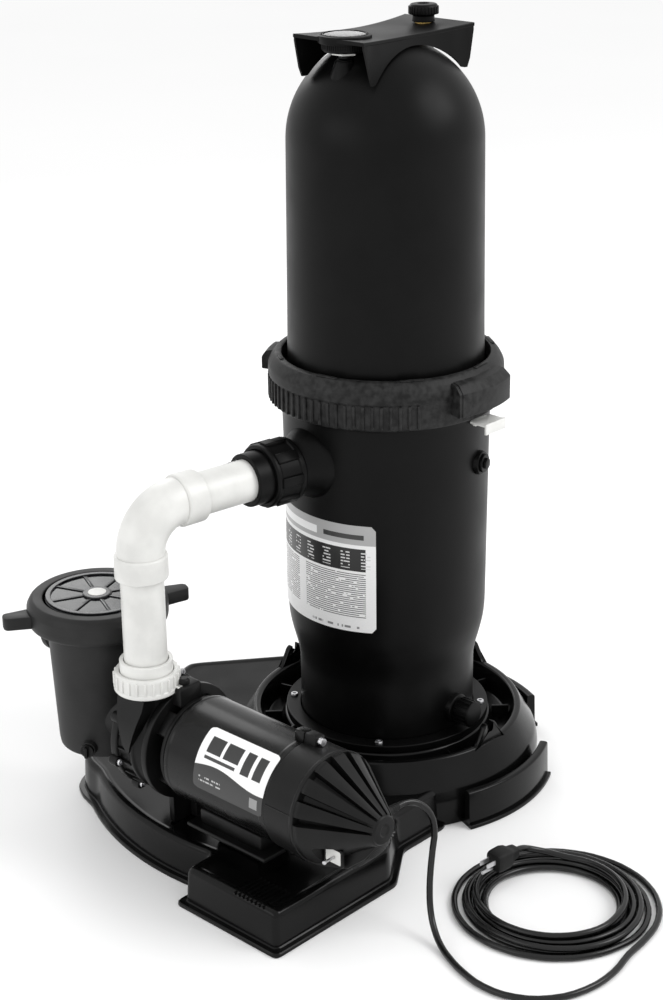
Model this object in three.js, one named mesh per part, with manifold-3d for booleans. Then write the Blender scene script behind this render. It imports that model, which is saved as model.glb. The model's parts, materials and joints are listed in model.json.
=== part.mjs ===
// Cartridge pool filter with its pump on one moulded base, as an assembly of separate pieces.
// Millimetres, +Z up. The origin is on the floor, under the middle of the whole footprint.
import * as THREE from 'three';
import { mergeVertices } from 'three/addons/utils/BufferGeometryUtils.js';
import Module from 'manifold-3d';

const wasm = await Module();
wasm.setup();

// ---------------------------------------------------------------- driving dimensions
const GAP = 0.3;                 // running clearance between pieces that touch
const TURN = Math.PI * 2;
const FINE = 24;                 // sides of the large round pieces
const ROUND = 16;                // sides of the middling ones
const COARSE = 8;                // sides of bolts and other small ones

const TANK = { x: 21.5, y: 130.41 };         // tank axis, from the origin
const SHAFT = { y: -391, z: 174 };           // pump shaft line, along +X, from the tank axis
const POT_X = -204;                          // strainer pot axis, on the shaft line
const FLANGE_X = -93;                        // front face of the volute, from the tank axis
const RISER = { x: -60, y: -430 };           // vertical pipe, from the tank axis

const DECK_TOP = 57;                         // top of the base deck
const WALL = 6;                              // moulded wall of the base
const FOOT_Z = 85.7;                         // top of the pedestal that carries the tank
const RING_Z = 590;                          // underside of the big lock ring
const JOINT_Z = 620.3;                       // where lid and tank meet
const DOME_R = 138;
const DOME_Z = 963;                          // centre height of the domed top
const SADDLE_Z = 1107.6;                     // underside of the top cover's plate
const FEED_Z = 520;                          // height of the level pipe
const PIPE_R = 30.15;                        // 2 inch PVC pipe, 60.3 mm outside
const MOTOR_R = 75;
const MOTOR_X = 2;                           // front face of the motor shell
const SEAM_X = 200;                          // where the rear cover starts
const CORD_R = 4.5;
const CORD_EXIT = { x: 318, y: SHAFT.y + 55.3, z: 176 };   // tip of the strain relief
const COIL = { x: 452, y: -170, inner: 84, outer: 148, top: 28 };

// ---------------------------------------------------------------- finishes
function finish(color, roughness, metalness = 0) {
  return new THREE.MeshStandardMaterial({ color, roughness, metalness });
}
const satinBlack = finish(0x1b1b1c, 0.5);
const glossBlack = finish(0x141415, 0.25);
const ribbedGrey = finish(0x2b2b2c, 0.6);
const whitePvc = finish(0xe9e9e6, 0.4);
const motorPaint = finish(0x161617, 0.3);
const rubber = finish(0x101010, 0.8);
const steel = finish(0xb8b8b8, 0.35, 1);
const brass = finish(0xb59a5a, 0.35, 1);
const castIron = finish(0x5a5652, 0.6, 0.6);
const smokyClear = finish(0x6b6d70, 0.15);
const pleatWhite = finish(0xf1f0ea, 0.9);
const blueCap = finish(0x2c5f9e, 0.6);
const copper = finish(0xb5673a, 0.4, 1);

// ---------------------------------------------------------------- shape helpers
// A welded, closed body with its faces pointing out.
function body(geometry) {
  const bare = geometry.clone();
  bare.deleteAttribute('normal');
  bare.deleteAttribute('uv');
  const welded = mergeVertices(bare, 1e-3);
  const at = welded.getAttribute('position');
  const index = welded.index.array;
  const triangles = [];
  let volume = 0;
  const [a, b, c] = [new THREE.Vector3(), new THREE.Vector3(), new THREE.Vector3()];
  for (let i = 0; i < index.length; i += 3) {
    const [p, q, r] = [index[i], index[i + 1], index[i + 2]];
    if (p === q || q === r || r === p) continue;
    triangles.push(p, q, r);
    a.fromBufferAttribute(at, p);
    b.fromBufferAttribute(at, q);
    c.fromBufferAttribute(at, r);
    volume += a.dot(b.cross(c));
  }
  if (volume < 0) {
    for (let i = 0; i < triangles.length; i += 3) {
      [triangles[i], triangles[i + 1]] = [triangles[i + 1], triangles[i]];
    }
  }
  return new wasm.Manifold(new wasm.Mesh({
    numProp: 3,
    vertProperties: new Float32Array(at.array),
    triVerts: new Uint32Array(triangles),
  }));
}

function surface(solid) {
  const mesh = solid.getMesh();
  const geometry = new THREE.BufferGeometry();
  geometry.setAttribute('position', new THREE.BufferAttribute(mesh.vertProperties, 3));
  geometry.setIndex(new THREE.BufferAttribute(mesh.triVerts, 1));
  return geometry;
}

function join(first, ...others) {
  return surface(others.reduce((sum, other) => sum.add(body(other)), body(first)));
}

// Faceted curves can leave crumbs behind a cut, so only the largest body of what is left is kept.
function cut(first, ...tools) {
  const rest = tools.reduce((sum, tool) => sum.subtract(body(tool)), body(first));
  const bodies = rest.decompose().sort((a, b) => b.volume() - a.volume());
  return surface(bodies[0]);
}

// A profile of [radius, height] points turned about Z. It starts and ends on the axis, or closes.
function turned(profile, segments = ROUND) {
  const points = profile.map(([r, z]) => new THREE.Vector2(r, z));
  const onAxis = profile[0][0] === 0 && profile[profile.length - 1][0] === 0;
  if (!onAxis) points.push(points[0].clone());
  return new THREE.LatheGeometry(points, segments).rotateX(Math.PI / 2);
}

function rod(radius, z0, z1, segments = ROUND) {
  return turned([[0, z0], [radius, z0], [radius, z1], [0, z1]], segments);
}

function tube(outer, inner, z0, z1, segments = ROUND) {
  return turned([[inner, z0], [outer, z0], [outer, z1], [inner, z1]], segments);
}

function box(width, depth, height, x, y, z) {
  return new THREE.BoxGeometry(width, depth, height).translate(x, y, z);
}

// An outline of [x, y] points raised from z0 to z1.
function prism(outline, z0, z1) {
  const shape = new THREE.Shape(outline.map(([x, y]) => new THREE.Vector2(x, y)));
  const options = { depth: z1 - z0, bevelEnabled: false };
  return new THREE.ExtrudeGeometry(shape, options).translate(0, 0, z0);
}

function radians(degrees) {
  return degrees * Math.PI / 180;
}

function polar(radius, degrees) {
  return [radius * Math.cos(radians(degrees)), radius * Math.sin(radians(degrees))];
}

// Points on a circle about the axis, from one angle to another.
function arc(radius, from, to, steps) {
  const points = [];
  for (let i = 0; i <= steps; i++) {
    points.push(polar(radius, from + (to - from) * i / steps));
  }
  return points;
}

// Lays a shape turned about Z along a level line that leaves the tank axis at an angle.
function outward(geometry, degrees, z, side = 0) {
  return geometry.clone().rotateY(Math.PI / 2).translate(0, side, z).rotateZ(radians(degrees));
}

// A closed clockwise outline moved inwards by a distance, corner by corner.
function inset(outline, distance) {
  return outline.map((point, i) => {
    const before = outline[(i + outline.length - 1) % outline.length];
    const after = outline[(i + 1) % outline.length];
    const normals = [[before, point], [point, after]].map(([p, q]) => {
      const length = Math.hypot(q[0] - p[0], q[1] - p[1]);
      return [(q[1] - p[1]) / length, -(q[0] - p[0]) / length];
    });
    const [n, m] = normals;
    const spread = 1 + n[0] * m[0] + n[1] * m[1];
    return [point[0] + distance * (n[0] + m[0]) / spread, point[1] + distance * (n[1] + m[1]) / spread];
  });
}

// ---------------------------------------------------------------- the assembly's groups
const pump = new THREE.Group();
const tank = new THREE.Group();
tank.position.set(TANK.x, TANK.y, 0);
pump.add(tank);
const shaft = new THREE.Group();
shaft.position.set(0, SHAFT.y, SHAFT.z);
shaft.rotation.y = Math.PI / 2;
tank.add(shaft);
const pot = new THREE.Group();
pot.position.set(POT_X, SHAFT.y, 0);
tank.add(pot);
const riser = new THREE.Group();
riser.position.set(RISER.x, RISER.y, 0);
tank.add(riser);

function add(group, name, geometry, material) {
  const mesh = new THREE.Mesh(surface(body(geometry)), material);
  mesh.name = name;
  group.add(mesh);
  return mesh;
}

// ---------------------------------------------------------------- moulded base
const LIP = 10;
const SKIRT_R = 231;
const OUTRIGGER_R = 257;
const deckLip = [
  [150, -40], [210.5, -110], [210.5, -201], [261, -273], [261, -510], [67, -508.5], [66, -462.3],
  ...arc(467, -83, -118, 6), ...[[-250, -404], [-275, -391], [-291, -370]],
  [-386, -80], [-388, -62], [-378, -44], [-212, 167], [-180, 150],
];
const deckWall = inset(deckLip, LIP);
const deckInside = inset(deckLip, LIP + WALL);
const posts = [[160, -390], [-60, -380], [-200, -330], [-270, -120]];

function outrigger(middle) {
  const [from, to] = [middle - 23.5, middle + 23.5];
  const upper = [...arc(OUTRIGGER_R - 6, from, to, 8), ...arc(SKIRT_R + 5, to, from, 8)];
  const foot = [...arc(OUTRIGGER_R, from, to, 8), ...arc(SKIRT_R - 20, to, from, 8)];
  return join(prism(upper, 3, DECK_TOP), prism(foot, 0, 6));
}

// An upright ear with a notch, one of four that steady the tank.
function ear(degrees) {
  const outline = [
    [-40, 88], [-24, 100], [-12, 124], [-6, 127], [-6, 114], [6, 114], [6, 127], [12, 124], [24, 100], [40, 88],
  ];
  const plate = prism(outline, 0, 8).rotateX(Math.PI / 2).rotateZ(Math.PI / 2).translate(194, 0, 0);
  return plate.rotateZ(radians(degrees));
}

function basePlatform() {
  const skirt = turned([
    [0, 0], [SKIRT_R, 0], [SKIRT_R, 40], [226, 57], [204, 97], [194, 97], [186, 62], [162, 62],
    [157, FOOT_Z], [0, FOOT_Z],
  ], FINE);
  const whole = join(
    prism(deckLip, 0, 6), prism(deckWall, 3, DECK_TOP), skirt,
    outrigger(3.5), outrigger(86.5), ear(0), ear(90), ear(180), ear(270),
  );
  const stands = posts.map(([x, y]) => rod(22, -2, DECK_TOP, COARSE).translate(x, y, 0));
  const underDeck = cut(prism(deckInside, -1, DECK_TOP - WALL), ...stands);
  const underTank = tube(SKIRT_R - WALL, 60, -1, 50, FINE);
  return cut(whole, underDeck, underTank);
}
add(tank, 'base_platform', basePlatform(), glossBlack);

// ---------------------------------------------------------------- tank
const FEED_ANGLE = THREE.MathUtils.radToDeg(Math.atan2(RISER.y, RISER.x));
const RETURN_ANGLE = 133;
const RETURN_Z = 250;
const DRAIN_ANGLE = 2;
const DRAIN_Z = 125;
const PLUG_ANGLE = 14;
const PLUG_Z = 510;

// The clamp ring around the tank's foot
add(tank, 'tank_foot_ring', tube(154, 131 + GAP, FOOT_Z + GAP, 97, FINE), satinBlack);

function tankBody() {
  const floor = FOOT_Z + GAP;
  const outside = [
    [0, floor], [128, floor], [131, floor + 4], [131, 184], [135, 204], [142, 228], [146.5, 252], [147.5, 275],
    [150, 540], [151, 588], [156, 592], [156, JOINT_Z - GAP], [0, JOINT_Z - GAP],
  ];
  const inside = [
    [0, 92], [124, 92], [125, 96], [125, 186], [129, 206], [136, 230], [140.5, 254], [141.5, 276],
    [144, 540], [145, JOINT_Z + 1], [0, JOINT_Z + 1],
  ];
  const feed = outward(turned([
    [0, 130], [50, 130], [50, 150], [43, 162], [37, 176], [36, 198.5], [0, 198.5],
  ]), FEED_ANGLE, FEED_Z);
  const drain = outward(rod(15.5, 118, 158), DRAIN_ANGLE, DRAIN_Z);
  const drainRoot = outward(rod(22, 118, 140.5), DRAIN_ANGLE, DRAIN_Z);
  const outlet = outward(turned([
    [0, 130], [46, 130], [46, 152], [38, 166], [37, 196], [0, 196],
  ]), RETURN_ANGLE, RETURN_Z);
  const plugBoss = outward(rod(17, 140, 156), PLUG_ANGLE, PLUG_Z);
  const shell = join(turned(outside, FINE), feed, drainRoot, drain, outlet, plugBoss);
  return cut(
    shell, turned(inside, FINE), tube(153.7, 148.3, 615, JOINT_Z + 1, FINE),
    outward(rod(26, 100, 230), FEED_ANGLE, FEED_Z), outward(rod(10, 100, 200), DRAIN_ANGLE, DRAIN_Z),
    outward(rod(26, 100, 230), RETURN_ANGLE, RETURN_Z),
    outward(rod(9.3, 100, 200), PLUG_ANGLE, PLUG_Z),
  );
}
add(tank, 'tank_body', tankBody(), satinBlack);
add(tank, 'body_o_ring', tube(153.4, 148.6, 615 + GAP, JOINT_Z, FINE), rubber);

const sidePlug = join(rod(9, 144, 157), rod(13.5, 156 + GAP, 163));
add(tank, 'tank_side_plug', outward(sidePlug, PLUG_ANGLE, PLUG_Z), satinBlack);

const drainCap = cut(rod(20, 141, 167), rod(16.2, 140, 162));
add(tank, 'drain_cap', outward(drainCap, DRAIN_ANGLE, DRAIN_Z), satinBlack);
add(tank, 'drain_cap_seal', outward(tube(15, 11, 158 + GAP, 162 - GAP), DRAIN_ANGLE, DRAIN_Z), rubber);

const GAUGE_Y = -80;                         // gauge axis, in front of the tank's
const RELIEF_Y = 80;                         // air relief axis, behind it
function tankLid() {
  const outside = [[0, JOINT_Z + GAP], [156, JOINT_Z + GAP], [156, 632], [147, 633], [141.5, 642], [140.5, 720]];
  for (let angle = 0; angle < 90; angle += 10) {
    const [r, rise] = polar(DOME_R, angle);
    outside.push([r, DOME_Z + rise]);
  }
  outside.push([0, DOME_Z + DOME_R]);
  const inside = [[0, JOINT_Z - 5], [136, JOINT_Z - 5], [135.5, 720]];
  for (let angle = 0; angle < 90; angle += 15) {
    const [r, rise] = polar(DOME_R - 5, angle);
    inside.push([r, DOME_Z + rise]);
  }
  inside.push([0, DOME_Z + DOME_R - 5]);
  const gaugeBoss = rod(12, 1030, 1081.5, COARSE).translate(0, GAUGE_Y, 0);
  const reliefBoss = rod(12, 1030, 1098, COARSE).translate(0, RELIEF_Y, 0);
  const shell = join(turned(outside, FINE), gaugeBoss, reliefBoss);
  return cut(
    shell, turned(inside, FINE),
    rod(4.5, 1020, 1120, COARSE).translate(0, GAUGE_Y, 0), rod(6.5, 1020, 1120, COARSE).translate(0, RELIEF_Y, 0),
  );
}
add(tank, 'tank_lid', tankLid(), satinBlack);

// ---------------------------------------------------------------- big lock ring and its catch
function lockRing() {
  const ring = turned([
    [157.5, RING_Z], [169, RING_Z], [170, 626], [167, 648], [160, 658], [149, 660], [149, 635], [157.5, 634],
  ], FINE);
  const lug = [...arc(188, -12, 20, 4), ...arc(160, 26, -18, 4)];
  const grip = [...arc(181, -157, -145, 3), ...arc(160, -141, -161, 3)];
  const catchPocket = box(20, 30, 16, 176, 12, 610);
  return cut(join(ring, prism(lug, 606, 652), prism(grip, 622, 652)), catchPocket, tube(157.5, 100, 580, 634, FINE));
}
add(tank, 'lock_ring', lockRing(), ribbedGrey);

function latchArm() {
  const plate = box(30, 44, 4, 171, 22, 583);
  const tab = box(4, 44, 16, 185, 22, 577);
  const root = box(6, 26, 10, 157, 22, 580);
  return join(plate, tab, root);
}
add(tank, 'lock_latch', latchArm(), whitePvc);

// ---------------------------------------------------------------- filter cartridge
const CARTRIDGE = { r: 104, core: 34, bottom: 100, top: 1030 };
function pleats() {
  const outline = [];
  const folds = 40;
  for (let i = 0; i < folds * 2; i++) {
    outline.push(polar(i % 2 ? CARTRIDGE.r - 14 : CARTRIDGE.r, i * 180 / folds));
  }
  const [low, high] = [CARTRIDGE.bottom + 14, CARTRIDGE.top - 14];
  return cut(prism(outline, low, high), rod(CARTRIDGE.core + GAP, low - 1, high + 1));
}
add(tank, 'cartridge_pleats', pleats(), pleatWhite);
add(tank, 'cartridge_core', tube(CARTRIDGE.core, 29, CARTRIDGE.bottom + 14, CARTRIDGE.top - 14), satinBlack);
const endCap = tube(CARTRIDGE.r + 3, 26, 0, 14 - GAP);
add(tank, 'cartridge_top_cap', endCap.clone(), blueCap).position.z = CARTRIDGE.top - 14 + GAP;
add(tank, 'cartridge_bottom_cap', endCap.clone(), blueCap).position.z = CARTRIDGE.bottom;

// ---------------------------------------------------------------- top cover, gauge and air relief
function topCover() {
  const half = [[64, 113], [54, 60], [50, 0], [54, -60], [64, -113]];
  const outline = [...half.map(([x, y]) => [x, -y]), ...half.map(([x, y]) => [-x, y])];
  const plate = prism(outline, SADDLE_Z, SADDLE_Z + 5);
  const walls = [-1, 1].map((side) => box(5, 224, 54, side * 59, 0, SADDLE_Z - 24));
  const clearance = turned([
    [0, 900], [DOME_R + 3, 900], [DOME_R + 3, DOME_Z],
    ...[15, 30, 45, 60, 75].map((angle) => {
      const [r, rise] = polar(DOME_R + 3, angle);
      return [r, DOME_Z + rise];
    }),
    [0, DOME_Z + DOME_R + 3],
  ], FINE);
  return cut(
    join(plate, ...walls), clearance,
    rod(31.5, 1000, 1140).translate(0, GAUGE_Y, 0), rod(17, 1000, 1140).translate(0, RELIEF_Y, 0),
  );
}
add(tank, 'top_cover', topCover(), satinBlack);

const gauge = new THREE.Group();
gauge.position.set(0, GAUGE_Y, 0);
tank.add(gauge);
const gaugeCase = cut(
  join(rod(31, 1092, 1115), rod(9, 1082, 1092.5, COARSE), rod(4.2, 1050, 1083, COARSE)),
  rod(28.5, 1106, 1120), rod(2, 1040, 1100, COARSE),
);
add(gauge, 'gauge_body', gaugeCase, satinBlack);
add(gauge, 'gauge_collar', tube(19, 9 + GAP, 1087.6, 1091.7), whitePvc);
add(gauge, 'gauge_lens', rod(28.5 - GAP, 1112, 1115), smokyClear);
const needle = box(3, 24, 1, 0, 7, 1109.5);
add(gauge, 'gauge_needle', join(needle, rod(3, 1107, 1110, COARSE)), satinBlack);

const relief = new THREE.Group();
relief.position.set(0, RELIEF_Y, 0);
tank.add(relief);
const reliefBody = cut(
  join(rod(6.2, 1060, 1099, COARSE), rod(12, 1098 + GAP, 1112, COARSE)), rod(3, 1050, 1120, COARSE),
);
add(relief, 'air_relief_body', reliefBody, brass);
const reliefKnob = join(rod(21, 1122, 1137), rod(16, 1112 + GAP, 1122.5, COARSE), rod(2.7, 1090, 1113, COARSE));
add(relief, 'air_relief_knob', reliefKnob, satinBlack);

// ---------------------------------------------------------------- union and feed pipe to the tank
const feedRun = Math.hypot(RISER.x, RISER.y);
const SWEEP = 60;
function feedPiece(name, geometry, material) {
  return add(tank, name, outward(geometry, FEED_ANGLE, FEED_Z), material);
}
feedPiece('inlet_union_seal', tube(33, 27, 198.5 + GAP, 201.5), rubber);
feedPiece('inlet_union_tail', turned([
  [26, 202], [40, 202], [40, 207], [38, 208], [38, 257], [PIPE_R + GAP, 257], [PIPE_R + GAP, 222], [26, 222],
]), ribbedGrey);
function inletNut() {
  const shell = turned([
    [38, 180], [45, 180], [46, 184], [46, 228], [44, 232], [39, 232], [39, 210], [41, 210], [41, 184], [38, 184],
  ]);
  const lugs = [];
  for (let i = 0; i < 8; i++) {
    lugs.push(box(7, 14, 38, 44.5, 0, 207).rotateZ(TURN * i / 8));
  }
  return join(shell, ...lugs);
}
feedPiece('inlet_union_nut', inletNut(), satinBlack);
feedPiece('pipe_horizontal', tube(PIPE_R, 26, 222 + GAP, 356), whitePvc);

// Swept elbow with a socket at each end; local Z is the vertical pipe.
const SOCKET = 34;
function elbowLine(reach) {
  const low = FEED_Z - SWEEP;
  const points = [[0, low - reach], [0, low - reach / 2]];
  for (let angle = 0; angle <= 90; angle += 15) {
    const [c, s] = polar(SWEEP, angle);
    points.push([SWEEP - c, low + s]);
  }
  points.push([SWEEP + reach / 2, FEED_Z], [SWEEP + reach, FEED_Z]);
  return new THREE.CatmullRomCurve3(points.map(([x, z]) => new THREE.Vector3(x, 0, z)));
}

function elbow() {
  const sweep = (radius, reach) => new THREE.ExtrudeGeometry(new THREE.Shape().absarc(0, 0, radius, 0, TURN), {
    steps: 14, curveSegments: ROUND / 2, extrudePath: elbowLine(reach), bevelEnabled: false,
  });
  const upright = (radius, reach, depth) => rod(radius, FEED_Z - SWEEP - reach, FEED_Z - SWEEP - depth);
  const level = (radius, reach, depth) => rod(radius, SWEEP + depth, SWEEP + reach)
    .rotateY(Math.PI / 2).translate(0, 0, FEED_Z);
  const outside = join(sweep(33.5, SOCKET - 6), upright(37, SOCKET, 0), level(37, SOCKET, 0));
  const pipe = PIPE_R + GAP;
  return cut(outside, sweep(26, SOCKET + 4), upright(pipe, SOCKET + 1, 4), level(pipe, SOCKET + 1, 4));
}
const elbowTurn = Math.atan2(-RISER.y, -RISER.x);
add(riser, 'pipe_elbow', elbow(), whitePvc).rotation.z = elbowTurn;
add(riser, 'pipe_vertical', tube(PIPE_R, 26, 290 + GAP, FEED_Z - SWEEP - 4 - GAP), whitePvc).rotation.z = elbowTurn;

// ---------------------------------------------------------------- union on the pump outlet
const OUTLET_Z = 268;                        // sealing face on the pump outlet
add(riser, 'discharge_union_seal', tube(34, 28, OUTLET_Z + GAP, OUTLET_Z + 3), rubber);
add(riser, 'discharge_union_tail', turned([
  [26, 271.3], [41, 271.3], [41, 277], [37, 278], [37, 304], [PIPE_R + 1, 304], [PIPE_R + 1, 290], [26, 290],
]), whitePvc);
function dischargeNut() {
  const shell = turned([
    [37.4, 259.5], [45, 259.5], [46, 263], [46, 284], [44, 288], [38, 288], [38, 279], [42.2, 278],
    [42.2, 268], [37.4, 267],
  ]);
  const ribs = [];
  for (let i = 0; i < 12; i++) {
    ribs.push(box(4, 5, 22, 45.5, 0, 272.5).rotateZ(TURN * (i + 0.5) / 12));
  }
  return join(shell, ...ribs);
}
add(riser, 'discharge_union_nut', dischargeNut(), whitePvc);

// ---------------------------------------------------------------- strainer pot
const SUCTION_Z = 262;
function strainerPot() {
  const outside = [
    [0, 112], [58, 112], [65, 118], [66, 126], [74, 300], [80, 304], [88, 306], [88, 330], [0, 330],
  ];
  const inside = [[0, 117], [57, 117], [60, 124], [69, 296], [80, 318], [80, 331], [0, 331]];
  const spout = outward(rod(33, 50, 96), 180, SUCTION_Z);
  const bridge = outward(rod(36, 50, FLANGE_X - POT_X - GAP), 0, SHAFT.z);
  const drain = outward(rod(11, 55, 76, COARSE), -60, 132);
  return cut(
    join(turned(outside, FINE), spout, bridge, drain), turned(inside, FINE),
    outward(rod(25, 40, 97), 180, SUCTION_Z), outward(rod(26, 40, 160), 0, SHAFT.z),
    outward(rod(6.4, 40, 80, COARSE), -60, 132),
  );
}
add(pot, 'strainer_pot', strainerPot(), satinBlack);
const potPlug = join(rod(5.7, 62, 76.5, COARSE), rod(10, 76 + GAP, 86, COARSE));
add(pot, 'pot_drain_plug', outward(potPlug, -60, 132), satinBlack);
add(pot, 'strainer_lid_o_ring', tube(86, 81.5, 330 + GAP, 333, FINE), rubber);
add(pot, 'strainer_lid', turned([[0, 333 + GAP], [87, 333 + GAP], [87, 337], [76, 339], [74, 347], [0, 347]], FINE), smokyClear);

function strainerRing() {
  const ring = turned([
    [89.2, 306], [99, 306], [101, 312], [101, 336], [94, 345], [78, 345], [78, 341], [89.2, 339],
  ], FINE);
  const handles = [-118, 68].map((angle) => box(44, 24, 20, 115, 0, 320).rotateZ(radians(angle)));
  return cut(join(ring, ...handles), rod(89.2, 300, 338, FINE));
}
add(pot, 'strainer_lock_ring', strainerRing(), satinBlack);

function basket() {
  const outside = [[0, 150], [50, 150], [61, 306], [72, 308], [72, 312], [0, 312]];
  const inside = [[0, 153], [47.5, 153], [58, 304], [58, 313], [0, 313]];
  const window = outward(rod(26, 40, 70, COARSE), 0, SHAFT.z + 14);
  return cut(turned(outside), turned(inside), window);
}
add(pot, 'strainer_basket', basket(), whitePvc);

// ---------------------------------------------------------------- wet end of the pump
const SPIRAL = { front: -82, back: -30, r: 79 };
// A rod on the riser's line, between two heights above the floor
function upright(radius, z0, z1) {
  return rod(radius, z0 - SHAFT.z, z1 - SHAFT.z).translate(RISER.x, RISER.y - SHAFT.y, 0).rotateY(-Math.PI / 2);
}

function volute() {
  const casing = turned([
    [0, FLANGE_X], [84, FLANGE_X], [84, FLANGE_X + 12], [SPIRAL.r, FLANGE_X + 13],
    [SPIRAL.r, SPIRAL.back], [0, SPIRAL.back],
  ], FINE);
  const hollow = turned([
    [0, SPIRAL.front], [72, SPIRAL.front], [72, SPIRAL.back + 1], [0, SPIRAL.back + 1],
  ], FINE);
  const neck = upright(29, SHAFT.z + 20, OUTLET_Z);
  const shoulder = upright(36.2, 259.6, OUTLET_Z);
  return cut(join(casing, neck, shoulder), hollow, rod(26, FLANGE_X - 1, SPIRAL.front + 1),
    upright(24, SHAFT.z + 25, OUTLET_Z + 1));
}
add(shaft, 'volute', volute(), satinBlack);

const BRACKET = { front: SPIRAL.back + GAP, back: MOTOR_X - GAP };
function motorBracket() {
  const plate = tube(84, 12, BRACKET.front, BRACKET.front + 10, FINE);
  const rear = tube(70, 24, BRACKET.back - 6, BRACKET.back, FINE);
  const arms = [0, 90, 180, 270].map((angle) => (
    box(16, 34, BRACKET.back - BRACKET.front - 4, 60, 0, (BRACKET.front + BRACKET.back) / 2)
      .rotateZ(radians(angle + 45))
  ));
  const foot = box(SHAFT.z - DECK_TOP - 60, 70, 9, (SHAFT.z - DECK_TOP - GAP + 60) / 2, 0, BRACKET.front + 4.5);
  return cut(join(plate, rear, ...arms, foot), upright(48, 222, 300));
}
add(shaft, 'motor_bracket', motorBracket(), satinBlack);

add(shaft, 'impeller', turned([
  [6.2, -78], [26, -80], [30, -72], [66, -64], [66, -50], [20, -50], [14, -46], [6.2, -46],
]), glossBlack);
add(shaft, 'shaft_seal', tube(11, 6.2, -45.5, -31), steel);

// ---------------------------------------------------------------- motor
const HUB_X = 345;
function motorShell() {
  const can = cut(rod(MOTOR_R, MOTOR_X, SEAM_X, FINE), rod(MOTOR_R - 3, MOTOR_X + 6, SEAM_X + 1, FINE));
  const shield = rod(MOTOR_R - 2, 186, 197, FINE);
  return cut(join(can, shield), rod(16 + GAP, MOTOR_X - 1, MOTOR_X + 8), rod(17 + GAP, 180, SEAM_X + 1));
}
add(shaft, 'motor_shell', motorShell(), motorPaint);

// Finned rear cover: a drum, a cone down to a round hub, and fins that fan out between them.
const CONE_X = 250;
function rearCover() {
  const drum = turned([
    [0, SEAM_X + GAP], [76, SEAM_X + GAP], [76, CONE_X], [30, HUB_X - 12], [18, HUB_X], [0, HUB_X],
  ], FINE);
  const hollow = turned([
    [0, SEAM_X - 1], [72, SEAM_X - 1], [72, CONE_X - 2], [27, HUB_X - 16], [0, HUB_X - 16],
  ], FINE);
  const fins = [];
  const finShape = [[20, HUB_X - 3], [66, HUB_X - 40], [72, CONE_X - 4], [40, CONE_X + 20]];
  for (let i = -4; i <= 4; i++) {
    for (const side of [0, 180]) {
      const fin = prism(finShape, -1.5, 1.5).rotateX(Math.PI / 2);
      fins.push(fin.rotateZ(radians(180 + side + i * 13)));
    }
  }
  const pocket = box(24, 46, 34, 42, -52, 292);
  const cordSeat = join(rod(8.6, 33, 90, ROUND), rod(5, 0, 34, ROUND)).rotateX(-Math.PI / 2);
  return cut(join(drum, ...fins), hollow, pocket, cordSeat.translate(SHAFT.z - CORD_EXIT.z, 0, CORD_EXIT.x));
}
add(shaft, 'motor_rear_cover', rearCover(), satinBlack);
add(shaft, 'stator', tube(71.5, 42, 50, 150, FINE), copper);
add(shaft, 'rotor_core', tube(41, 8.3, 52, 148), castIron);
add(shaft, 'rotor_shaft', turned([[0, -82], [6, -82], [6, -20], [8, -18], [8, 262], [0, 262]], 20), steel);
add(shaft, 'front_bearing', tube(16, 8.3, MOTOR_X + 0.5, MOTOR_X + 11), steel);
add(shaft, 'rear_bearing', tube(17, 8.3, 186, 197), steel);

function coolingFan() {
  const hub = tube(16, 8.3, 214, 236);
  const blades = [];
  for (let i = 0; i < 6; i++) {
    blades.push(box(46, 2.5, 20, 38, 0, 225).rotateZ(TURN * i / 6));
  }
  return join(hub, ...blades);
}
add(shaft, 'cooling_fan', coolingFan(), ribbedGrey);

// Two of the long bolts that hold the motor together show in lugs on the seam.
[172, 352].forEach((angle, i) => {
  const bolt = join(rod(2.6, SEAM_X - 22, SEAM_X + 26, COARSE), rod(5.5, SEAM_X + 22, SEAM_X + 28, COARSE));
  const [x, y] = polar(82, angle);
  add(shaft, `through_bolt_${i + 1}`, bolt, steel).position.set(x, y, 0);
});

function motorFoot() {
  const cradle = box(26, 86, 120, MOTOR_R + 5, 0, 100);
  const pad = box(8, 110, 100, MOTOR_R + 14, 0, 100);
  const stem = box(SHAFT.z - DECK_TOP - MOTOR_R - 12, 60, 80, (SHAFT.z - DECK_TOP - GAP + MOTOR_R + 12) / 2, 0, 100);
  return cut(join(cradle, pad, stem), rod(MOTOR_R + GAP, 0, 220, FINE));
}
add(shaft, 'motor_foot', motorFoot(), ribbedGrey);

// Switch in a recess on the near side of the rear cover
add(shaft, 'switch_plate', box(20, 3, 26, 42, -38, 290), whitePvc);
const lever = rod(3, 0, 20, COARSE).rotateX(Math.PI / 2).translate(42, -40.6, 292);
add(shaft, 'switch_lever', lever, steel);

// ---------------------------------------------------------------- mains cord
const strain = turned([[0, 0], [8, 0], [8, 3], [6.5, 4], [5.2, 22], [0, 22]]).rotateX(-Math.PI / 2);
add(tank, 'cord_strain_relief', strain, rubber).position.set(CORD_EXIT.x, CORD_EXIT.y - 22, CORD_EXIT.z);

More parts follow.
